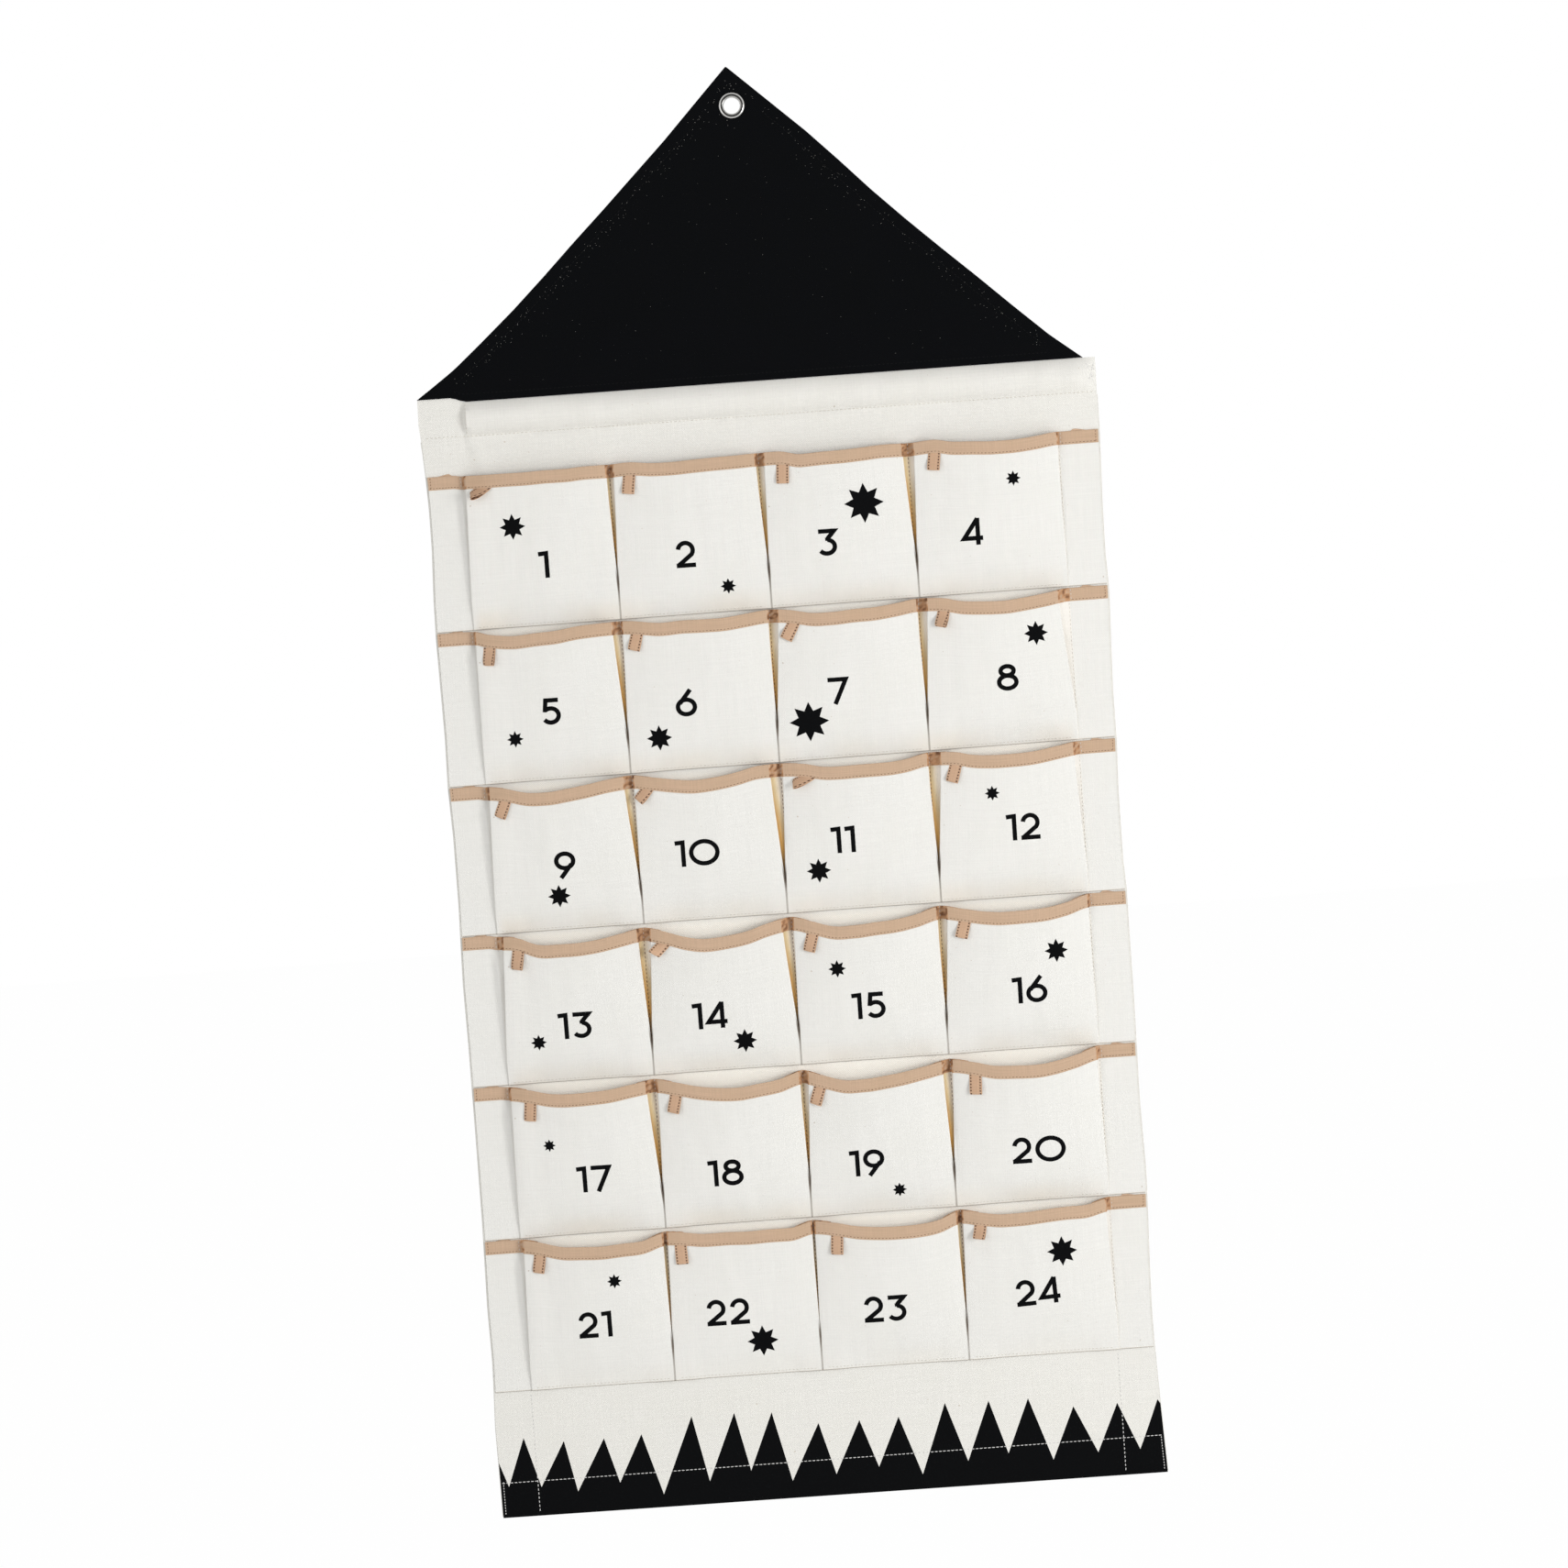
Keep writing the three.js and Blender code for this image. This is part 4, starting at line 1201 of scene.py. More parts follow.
class MakePanel(bpy.types.Operator):
    """Make the cream panel with its rod channel, hems and black foot"""

    bl_idname = "calendar.panel"
    bl_label = "Panel"

    def execute(self, context):
        sizes = cloth_sizes()
        half, height = sizes.panel_width / 2, sizes.panel_height
        columns = panel_columns()
        steps = 14
        rows, uvs, kinds, tints = [], [], [], []

        def add_row(length, kind, place):
            rows.append([place(x) for x in columns])
            uvs.append([(x, length) for x in columns])
            kinds.append(kind)
            # The painted light above the mouths
            tints.append([mouth_tint(x, length) if length < 0 else 0.0 for x in columns])

        def add_flat_rows(kind, upper, lower):
            for k in range(1, 9):
                zs = [mix(upper(x), lower(x), k / 8) for x in columns]
                rows.append([on_panel(x, 0.0, z) for x, z in zip(columns, zs)])
                uvs.append(list(zip(columns, zs)))
                kinds.append(kind)
                tints.append([0.0] * len(columns))

        tail, layer, fold_radius = 0.0022, 0.00085, 0.00045
        add_row(tail + sizes.channel, "plain", lambda x: on_panel(x, -layer, -sizes.channel - tail))
        for k in range(steps, 0, -1):
            fall = k / steps
            back = lambda x: max(channel_out(x, fall), 0.0) + layer * smooth_step(0.0, 0.12, fall)
            add_row(sizes.channel * fall, "plain", lambda x: on_panel(x, -back(x), -sizes.channel * fall))
        add_row(0.0, "plain", lambda x: on_panel(x, 0.0, 0.0004))
        for k in range(1, steps + 1):
            fall = k / steps
            add_row(-sizes.channel * fall, "plain", lambda x: on_panel(x, channel_out(x, fall), -sizes.channel * fall))
        plain_foot, count = -0.780, 118
        for k in range(1, count + 1):
            z = mix(-sizes.channel, plain_foot, k / count)
            add_row(z, "plain", lambda x: on_panel(x, creases_out(x, z), z))
        add_flat_rows("plain", lambda x: plain_foot, zigzag_height)
        add_flat_rows("print", zigzag_height, lambda x: -height)
        add_row(-height - 0.0007, "print", lambda x: on_panel(x, -fold_radius, -height - 0.0004))
        side_hem = half - sizes.hem
        for k in range(9):
            share = k / 8
            z = mix(-height, -height + sizes.hem, share)
            out = lambda x: -0.0010 - 0.0009 * smooth_step(side_hem - 0.004, side_hem, abs(x))
            kind = "print" if k < 7 else "plain"
            add_row(-height - 0.001 - sizes.hem * share, kind, lambda x: on_panel(x, out(x), z))
        slots = [3 if kinds[i + 1] == "print" else 2 for i in range(len(kinds) - 1)]
        panel = grid_piece("panel_cloth", rows, uvs, {"pleat": tints}, slot_at=lambda i, j: slots[i])
        hems = [self.side_hem(side) for side in (-1, 1)]
        for name in ("cream canvas", "print", "panel back", "foot back"):
            for sheet in (panel, *hems):
                sheet.data.materials.append(finish(name))
        join(panel, hems)
        thicken(panel, sizes.cloth, front=-2)
        bend_below = 0.0050
        start, end = SEAM + Vector((0, 0, SEAM_RISE)), SEAM - Vector((0, 0, bend_below))
        tuple(start)
        tuple(end)
        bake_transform(panel)
        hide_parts("back_panel")
        return {"FINISHED"}

    def side_hem(self, side):
        """The cloth folded to the back along one side"""
        sizes = cloth_sizes()
        half, height = sizes.panel_width / 2, sizes.panel_height
        rows, uvs = [], []
        count, fold, fold_radius = 110, 0.0004, 0.00045
        for k in range(count + 1):
            z = mix(-sizes.channel - 0.003, -height + 0.0006, k / count)
            row, row_uvs = [], []
            for j in range(4):
                angle = math.pi * j / 3
                shift = Vector((side * fold * math.sin(angle), 0, 0))
                row.append(on_panel(side * half, -fold_radius * (1 - math.cos(angle)), z) + shift)
                row_uvs.append((side * (half + fold * angle), z))
            for j in range(1, 6):
                inset = sizes.hem * j / 5
                row.append(on_panel(side * (half - inset), -2 * fold_radius, z))
                row_uvs.append((side * (half + 0.0014 + inset), z))
            rows.append(row)
            uvs.append(row_uvs)
        return grid_piece("hem", rows, uvs)


def mouth_tint(x, z):
    """1 on the panel's cloth that shows above a mouth, where painted light makes the cloth brighter and warmer"""
    if not DIVIDERS[0] * MM < x < DIVIDERS[-1] * MM:
        return 0.0
    falls, deepest = [row_top(row, x) - z for row in range(1, ROWS)], 0.022
    return max(smooth_step(-0.001, 0.0005, fall) * (fall < deepest) for fall in falls)


# Pocket strips and their tape


class MakeStrips(bpy.types.Operator):
    """Make the six pleated pocket strips"""

    bl_idname = "calendar.strips"
    bl_label = "Pocket strips"

    def execute(self, context):
        for row in range(ROWS):
            free_levels = [taped_share() + (0.991 - taped_share()) * k / 24 for k in range(25)]
            levels = [0.004, 0.03, 0.06, *free_levels, 1.0]
            lines = [strip_line(row, level) for level in levels]
            # The cloth's lengths at one level serve them all, so that the weave runs straight down
            lengths = running_lengths([(x, out, 0) for x, out, _, _ in lines[12]])
            rows = [[on_panel(x, out, z) for x, out, z, _ in line] for line in lines]
            fall = row_top(row) - row_foot(row)
            uvs = [[(length, -level * fall) for length in lengths] for level in levels]
            pleats = [[painted_shading for _, _, _, painted_shading in line] for line in lines]
            # Painted shade along the feet
            feet = [[foot_tint(row, x, level) for x, _, _, _ in line] for line, level in zip(lines, levels)]
            strip = grid_piece(f"pocket_strip_{row + 1}", rows, uvs, {"pleat": pleats, "foot": feet})
            thicken(strip, 2 * pocket_half())
            dress(strip, "panel", finish("pocket cloth"))
            first = row * POCKETS_PER_ROW + 1
            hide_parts(*[f"pocket_cloth_{number:02d}" for number in range(first, first + POCKETS_PER_ROW)])
        return {"FINISHED"}


def foot_tint(row, x, level):
    """Painted shade: along their feet the pockets are a little darker and warmer where the cloth turns back to the
    seam, all but the last row's, and 2 marks the painted shadow line under the folded edge itself
    """
    if level == 1.0:
        return 2.0
    inside = smooth_step(-0.232, -0.222, x) * smooth_step(-0.231, -0.221, -x)
    uneven = min(max(0.50 + 0.9 * ripple(x, 0, wavelength=0.05, seed=40.0 + row), 0.1), 1)
    strength = 0.35 if row == ROWS - 1 else 1.0
    return strength * inside * smooth_step(0.82, 0.97, level) * uneven


def tape_section():
    """The tape's path over the strip's edge: (side of the cloth, height over the tape's lower edge)"""
    sizes = cloth_sizes()
    apart, crest = pocket_half() + TAPE_GAP + sizes.tape / 2, 0.0004
    lower = [(apart, sizes.tape_height * k / 6) for k in range(6)]
    over = arc(0, sizes.tape_height - crest, apart, crest, 0, 180, 6)
    upper = [(-apart, sizes.tape_height * k / 6) for k in range(5, -1, -1)]
    return lower + over + upper


def tape_out():
    """From the middle of the pocket cloth to the tape's face"""
    return pocket_half() + TAPE_GAP + cloth_sizes().tape


def tab_bulge(distance):
    """How much of a tab's thickness lifts the tape, at a distance from the tab's middle"""
    return 1 - smooth_step(*TAB_BULGE, distance)


class MakeTape(bpy.types.Operator):
    """Make the six lengths of tape folded over the strips' edges"""

    bl_idname = "calendar.tape"
    bl_label = "Tape"

    def execute(self, context):
        sizes = cloth_sizes()
        section = tape_section()
        widths = running_lengths([(side, height, 0) for side, height in section])
        for row in range(ROWS):
            line = strip_line(row, taped_share() * 0.5)
            tops = strip_line(row, 0.0)
            tab_xs = [tab_place(row, pocket)[0] for pocket in range(POCKETS_PER_ROW)]
            lengths = running_lengths([(x, out, 0) for x, out, _, _ in line])
            rows, uvs, tints = [], [], []
            for k, (x, out, _, painted_shading) in enumerate(line):
                before, after = line[max(k - 1, 0)], line[min(k + 1, len(line) - 1)]
                along = Vector((after[0] - before[0], after[1] - before[1])).normalized()
                top = tops[k][2] + 0.0003
                from_tab = min(abs(x - tab_x) for tab_x in tab_xs)
                bulge = tab_bulge(from_tab) if painted_shading == 0 else 0.0
                ring, ring_tints = [], []
                for side, height in section:
                    low_on_tape = smooth_step(0.75, 0.15, height / sizes.tape_height)
                    over = 0.00062 * bulge * low_on_tape if side > 0 else 0.0
                    place_x = x - along.y * side
                    place_out = out + along.x * side + over
                    ring.append(on_panel(place_x, place_out, top - sizes.tape_height + height))
                    # Painted shade in the tape's folds, in uneven patches
                    patch = 0.52 + 1.3 * ripple(x, height, wavelength=0.0026, seed=50.0 + row)
                    ring_tints.append(painted_shading and min(1, patch))
                rows.append(ring)
                uvs.append([(lengths[k], width) for width in widths])
                tints.append(ring_tints)
            tape = grid_piece(f"tape_{row + 1}", rows, uvs, {"pleat": tints})
            join(tape, [self.turned_end(row, side) for side in (-1, 1)])
            thicken(tape, sizes.tape)
            dress(tape, "panel", finish("tan tape"))
            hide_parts(f"binding_row_{row + 1}")
        return {"FINISHED"}

    def turned_end(self, row, side):
        """The tape's end, turned under and peeping out above its edge"""
        sizes = cloth_sizes()
        turned_under, behind_strip = side * 0.0205, 0.00062
        start = side * (sizes.panel_width / 2 - 0.0012)
        rows, uvs = [], []
        for k in range(9):
            share = k / 8
            x = mix(start, start - turned_under, share)
            top = row_top(row, x) - sag(row, x)
            rise = 0.0004 + 0.0016 * smooth_step(0.35, 0.85, share) * (1 - smooth_step(0.93, 1.0, share))
            row_points, row_uvs = [], []
            for j in range(5):
                z = mix(top - sizes.tape_height + 0.0008, top + rise, j / 4)
                row_points.append(on_panel(x, behind_strip, z))
                row_uvs.append((x, 0.004 + 0.006 * j / 4))
            rows.append(row_points)
            uvs.append(row_uvs)
        return grid_piece("end", rows, uvs, {"pleat": [[0.0] * 5 for _ in range(9)]})


# Ribbon tabs


class MakeTabs(bpy.types.Operator):
    """Make the twenty-four ribbon tabs, each with its own lean, twist and curl"""

    bl_idname = "calendar.tabs"
    bl_label = "Ribbon tabs"

    def execute(self, context):
        sizes = cloth_sizes()
        bend_above, bend_below = 0.0004, 0.0012
        for number, form in enumerate(TABS, start=1):
            tab = self.tab(number, form)
            thicken(tab, sizes.ribbon)
            dress(tab, None, finish("tan ribbon"))
            joint = JOINTS[f"tab_{number:02d}_lift"]
            bend = Vector(joint["pos_m"]) + Vector((0, 0, min(0.0, form[-1]) * MM))
            start, end = bend + Vector((0, 0, bend_above)), bend - Vector((0, 0, bend_below))
            tuple(start)
            tuple(end)
            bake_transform(tab)
            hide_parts(f"tab_{number:02d}")
        return {"FINISHED"}

    def tab(self, number, form):
        """One ribbon, down its front layer and up its back one"""
        lean, length, twist, curl, gape, shift, rise = form
        lean, twist, curl = (math.radians(value) for value in (lean, twist, curl))
        under_tape, closed_gap = 0.0005, 0.00034
        length, gape, rise = length * MM + under_tape, gape * MM, rise * MM + under_tape
        joint = JOINTS[f"tab_{number:02d}_lift"]
        pivot = Vector(joint["pos_m"])
        along = -Vector(joint["axis"]).normalized()
        pivot += along * (shift * MM)
        outward = Vector((along.y, -along.x, 0)).normalized()
        upward = along.cross(-outward)
        pivot += upward * rise
        lean += math.atan2(along.z, math.hypot(along.x, along.y))
        width = cloth_sizes().ribbon_width
        down = Vector((-math.sin(lean), 0, -math.cos(lean)))
        across = Vector((math.cos(lean), 0, -math.sin(lean)))
        face = Vector((0, 1, 0))
        steps, wide = 16, 8
        rows, uvs = [], []
        places = [k / steps for k in range(steps + 1)]
        trip = [(share, 1) for share in places[:-1]] + [(1.0, 0)] + [(share, -1) for share in places[-2::-1]]
        run = 0.0
        for share, side in trip:
            turned = twist * share**1.3
            rounded = math.sqrt(max(0.0, 1 - share**10))
            open_here = mix(closed_gap, gape, smooth_step(0.05, 0.75, share)) * rounded
            width_way = across * math.cos(turned) + face * math.sin(turned)
            thick_way = face * math.cos(turned) - across * math.sin(turned)
            clear = abs(width / 2 * math.sin(turned)) + 0.5 * max(0.0, open_here - closed_gap)
            row, row_uvs = [], []
            for j in range(wide + 1):
                w = j / wide - 0.5
                begin = -w * width * math.tan(lean) * (1 - share)
                reach = begin + (length - 0.0002) * share
                bend = curl * share
                drop = down * (reach * (1 - bend * bend / 6))
                forward = face * (length * share * math.sin(bend) * 0.5)
                dome = 0.0003 * math.cos(math.pi * w) * share
                local = width_way * (w * width) + drop + forward
                local += face * clear + thick_way * (side * open_here / 2 + dome)
                point = pivot + along * local.x + outward * local.y + upward * (local.z - 0.0002)
                row.append(point)
                row_uvs.append((w * width + width / 2, run))
            rows.append(row)
            uvs.append(row_uvs)
            run += length / steps
        return grid_piece(f"ribbon_tab_{number:02d}", rows, uvs)


# Print


def numeral_strokes():
    """The numerals' middle lines on a body 20 high, and how wide each numeral is"""
    return {
        "0": (23, [arc(11.5, 10, 9.85, 8.35, 0, 360, 40)]),
        "1": (7.8, [[(0.2, 17.9), (6.1, 18.35), (6.1, 0)]]),
        "2": (15, [arc(7.6, 12.9, 5.5, 5.45, 172, -38) + [(1.6, 1.65)], [(0.4, 1.65), (14.8, 1.65)]]),
        "3": (14.6, [[(1, 18.35), (13, 18.35), (6.6, 11.7)] + arc(6.9, 6.75, 5.9, 5.1, 92, -146, 22)]),
        "4": (15.8, [[(15.8, 5.0), (1.6, 5.0), (12.2, 19.6)], [(12.1, 20), (12.1, 0)]]),
        "5": (15, [[(13.4, 18.35), (4.0, 18.35), (3.2, 11.2)] + arc(7.3, 6.95, 5.9, 5.3, 128, -146, 24)]),
        "6": (16, [[(11.6, 20), (3.3, 9.9)], arc(8, 7.1, 6.35, 5.45, 0, 360, 36)]),
        "7": (16, [[(0.6, 18.35), (14.2, 18.35), (5.4, 0)]]),
        "8": (16.3, [arc(8.15, 14.9, 4.9, 3.45, 0, 360, 30), arc(8.15, 6.45, 6.5, 4.8, 0, 360, 36)]),
        "9": (16, [[(4.4, 0), (12.7, 10.1)], arc(8, 12.9, 6.35, 5.45, 0, 360, 36)]),
    }


def finely(points, longest):
    """The same line with no step over a given length"""
    fine = [points[0]]
    for before, after in zip(points, points[1:]):
        count = max(1, math.ceil(math.dist(before, after) / longest))
        shares = [k / count for k in range(1, count + 1)]
        fine += [(mix(before[0], after[0], share), mix(before[1], after[1], share)) for share in shares]
    return fine


class PrintedInk:
    """Collects flat shapes and lays them on the cloth as thin closed prints"""

    def __init__(self):
        self.points = []
        self.faces = []

    def stroke(self, line, width, place):
        """Lay a line of a width, which joins up when it ends where it starts"""
        longest, sharpest, sides = 1.6, 0.35, len(PRINT_SECTION)
        line = finely(line, longest)
        closed = math.dist(line[0], line[-1]) < 0.001
        if closed:
            line = line[:-1]
        count = len(line)
        first = len(self.points)
        for k, point in enumerate(line):
            before = line[k - 1] if closed or k else None
            after = line[(k + 1) % count] if closed or k < count - 1 else None
            ways = [Vector(b) - Vector(a) for a, b in ((before, point), (point, after)) if a and b]
            normals = [Vector((-way.y, way.x)).normalized() for way in ways]
            side = sum(normals, Vector((0, 0)))
            side *= width / 2 / max(side.length_squared / len(normals), sharpest)
            for reach, height in PRINT_SECTION:
                self.points.append(place(point[0] + reach * side.x, point[1] + reach * side.y, height))
        for k in range(count if closed else count - 1):
            here, there = first + sides * k, first + sides * ((k + 1) % count)
            for j in range(sides):
                beside = (j + 1) % sides
                self.faces.append([here + j, here + beside, there + beside, there + j])
        if not closed:
            last = first + sides * (count - 1)
            self.faces.append([first + j for j in reversed(range(sides))])
            self.faces.append([last + j for j in range(sides)])


def print_piece(name, points, faces):
    piece = face_outwards(mesh_piece(name, points, faces))
    bpy.ops.object.shade_smooth_by_angle(angle=math.radians(40))
    dress(piece, "panel", finish("print"))


def laid_on_pocket(row, pocket, x, z, height):
    """A print's point: height is 0 just under the cloth's face and 1 on the ink"""
    return on_panel(x, front_out(row, pocket, x, z) - PRINT_SUNK + PRINT_THICKNESS * height, z)


class MakeNumbers(bpy.types.Operator):
    """Print the numbers 1 to 24 on the pockets"""

    bl_idname = "calendar.numbers"
    bl_label = "Numbers"

    def execute(self, context):
        sizes = cloth_sizes()
        numerals = numeral_strokes()
        body_height, spacing = 20, 2.7
        unit = sizes.number_height / body_height
        ink = PrintedInk()
        for number, (middle_x, middle_z) in enumerate(NUMBER_PLACES, start=1):
            row, pocket = divmod(number - 1, POCKETS_PER_ROW)
            text = str(number)
            total = sum(numerals[digit][0] for digit in text) + spacing * (len(text) - 1)
            turned = Matrix.Rotation(math.radians(NUMBER_TURNS.get(number, 0)), 2)
            start = -total / 2
            for digit in text:
                width, strokes = numerals[digit]

                def place(x, z, height, start=start):
                    flat = turned @ Vector(((start + x) * unit, (z - body_height / 2) * unit))
                    return laid_on_pocket(row, pocket, middle_x * MM + flat.x, middle_z * MM + flat.y, height)

                for line in strokes:
                    ink.stroke(line, sizes.stroke / unit, place)
                start += width + spacing
        print_piece("printed_numbers", ink.points, ink.faces)
        return {"FINISHED"}


class MakeStars(bpy.types.Operator):
    """Print the eight-pointed stars on the pockets"""

    bl_idname = "calendar.stars"
    bl_label = "Stars"

    def execute(self, context):
        star = self.one_star()
        points, faces = [], []
        for x, z, radius in STARS:
            row = min(range(ROWS), key=lambda r: abs(z * MM - (row_top(r) + row_foot(r)) / 2))
            pocket = max(p for p in range(POCKETS_PER_ROW) if DIVIDERS[p] < x)
            first = len(points)
            for vertex in star.data.vertices:
                place_x = (x + vertex.co.x * radius) * MM
                place_z = (z + vertex.co.y * radius) * MM
                points.append(laid_on_pocket(row, pocket, place_x, place_z, vertex.co.z))
            faces += [[first + k for k in face.vertices] for face in star.data.polygons]
        bpy.data.objects.remove(star)
        print_piece("printed_stars", points, faces)
        return {"FINISHED"}

    def one_star(self):
        """A star of radius 1, as thick as 1, with its points up and down"""
        bpy.ops.object.select_all(action="DESELECT")
        bpy.ops.mesh.primitive_circle_add(vertices=16, radius=1, fill_type="TRIFAN")
        star = bpy.context.active_object
        inner_radius = 0.58
        for vertex in star.data.vertices:
            turned = math.degrees(math.atan2(vertex.co.y, vertex.co.x)) % 45
            if vertex.co.length > 0.5 and abs(turned - 22.5) < 1:
                vertex.co *= inner_radius
        edit_all(
            star,
            (bpy.ops.mesh.subdivide, {"number_cuts": 3}),
            (bpy.ops.mesh.extrude_region_move, {"TRANSFORM_OT_translate": {"value": (0, 0, 1)}}),
        )
        return star


# Thread


class SewnThread:
    """Collects stitches, each a short round thread that rises from the cloth and dips back into it"""

    def __init__(self, thickness):
        self.thickness = thickness
        self.points = []
        self.faces = []

    def stitch(self, start, end, outward):
        along = end - start
        length = along.length
        along /= length
        side = along.cross(outward).normalized()
        first = len(self.points)
        radius, sides = self.thickness / 2, STITCH_SIDES
        for share, girth, rise in STITCH_RINGS:
            middle = start + along * (length * share) + outward * (radius * rise)
            for k in range(sides):
                angle = 2 * math.pi * k / sides
                reach = side * math.cos(angle) + outward * math.sin(angle)
                self.points.append(middle + reach * (radius * girth))
        last = first + sides * (len(STITCH_RINGS) - 1)
        for ring in range(first, last, sides):
            for k in range(sides):
                a, b = ring + k, ring + (k + 1) % sides
                self.faces.append([a, b, b + sides, a + sides])
        self.faces.append([first + k for k in reversed(range(sides))])
        self.faces.append([last + k for k in range(sides)])

    def seam(self, place, start, end, pitch, share=0.68, outward=FORWARD, wobble=0.0):
        """Stitches from place(start) to place(end), which take flat coordinates"""
        run = math.dist(start, end)
        count = max(1, round(run / pitch))
        for k in range(count):
            here, there = k / count, (k + share) / count
            flat = [(mix(start[0], end[0], s), mix(start[1], end[1], s)) for s in (here, there)]
            shift = wobble * (random.random() - 0.5)
            first, last = (place(x + shift, z + shift) for x, z in flat)
            self.stitch(first, last, outward)

    def piece(self, name, body, slot, colour):
        piece = face_outwards(mesh_piece(name, self.points, self.faces))
        dress(piece, body, finish(colour))


def panel_face(x, z):
    return on_panel(x, panel_out(x, z), z)


def roof_face(side):
    def place(x, z):
        out = roof_out(x, z) + side * (0.00053 + cloth_sizes().cloth / 2)
        return Vector((SEAM.x + x, -out, SEAM.z + z + roof_rise(x, z)))

    return place


class SewRoof(bpy.types.Operator):
    """Sew the roof's two layers together and catch some lint on them"""

    bl_idname = "calendar.roof_thread"
    bl_label = "Roof thread"

    def execute(self, context):
        sizes = cloth_sizes()
        random.seed(7)
        thread = SewnThread(sizes.thread)
        topstitch, foot_line = 0.014, 0.0065
        heights = [z * MM for z in range(14, 216, 12)]
        for side in (1, -1):
            outward = FORWARD * side
            for edge in (1, 2):
                line = [(inside_roof_edge(z, edge, topstitch), z) for z in heights]
                for start, end in zip(line, line[1:]):
                    thread.seam(roof_face(side), start, end, sizes.stitch, outward=outward, wobble=0.0003)
            thread.seam(roof_face(side), (-0.232, foot_line), (0.226, foot_line), sizes.stitch, outward=outward)
        thread.piece("roof_stitches", "roof", "black_canvas", "black thread")
        lint, flecks = SewnThread(0.00042), 420
        for _ in range(flecks):
            z = random.uniform(0.012, 0.230)
            edge = random.choice((1, 2))
            inset = 0.016 + random.gauss(0, 0.0055) if random.random() < 0.75 else random.uniform(0.012, 0.16)
            x = inside_roof_edge(z, edge, inset)
            left, right = roof_reach(z)
            on_eyelet = math.hypot(x + SEAM.x, z + SEAM.z) < 0.0115
            if on_eyelet or not left + 0.006 < x < right - 0.006:
                continue
            start = roof_face(1)(x, z)
            angle = random.uniform(0, math.pi)
            length = random.uniform(0.0003, 0.0008)
            end = start + Vector((math.cos(angle), 0, math.sin(angle))) * length
            lint.stitch(start, end, FORWARD)
        lint.piece("roof_lint", "roof", "black_canvas", "lint")
        return {"FINISHED"}


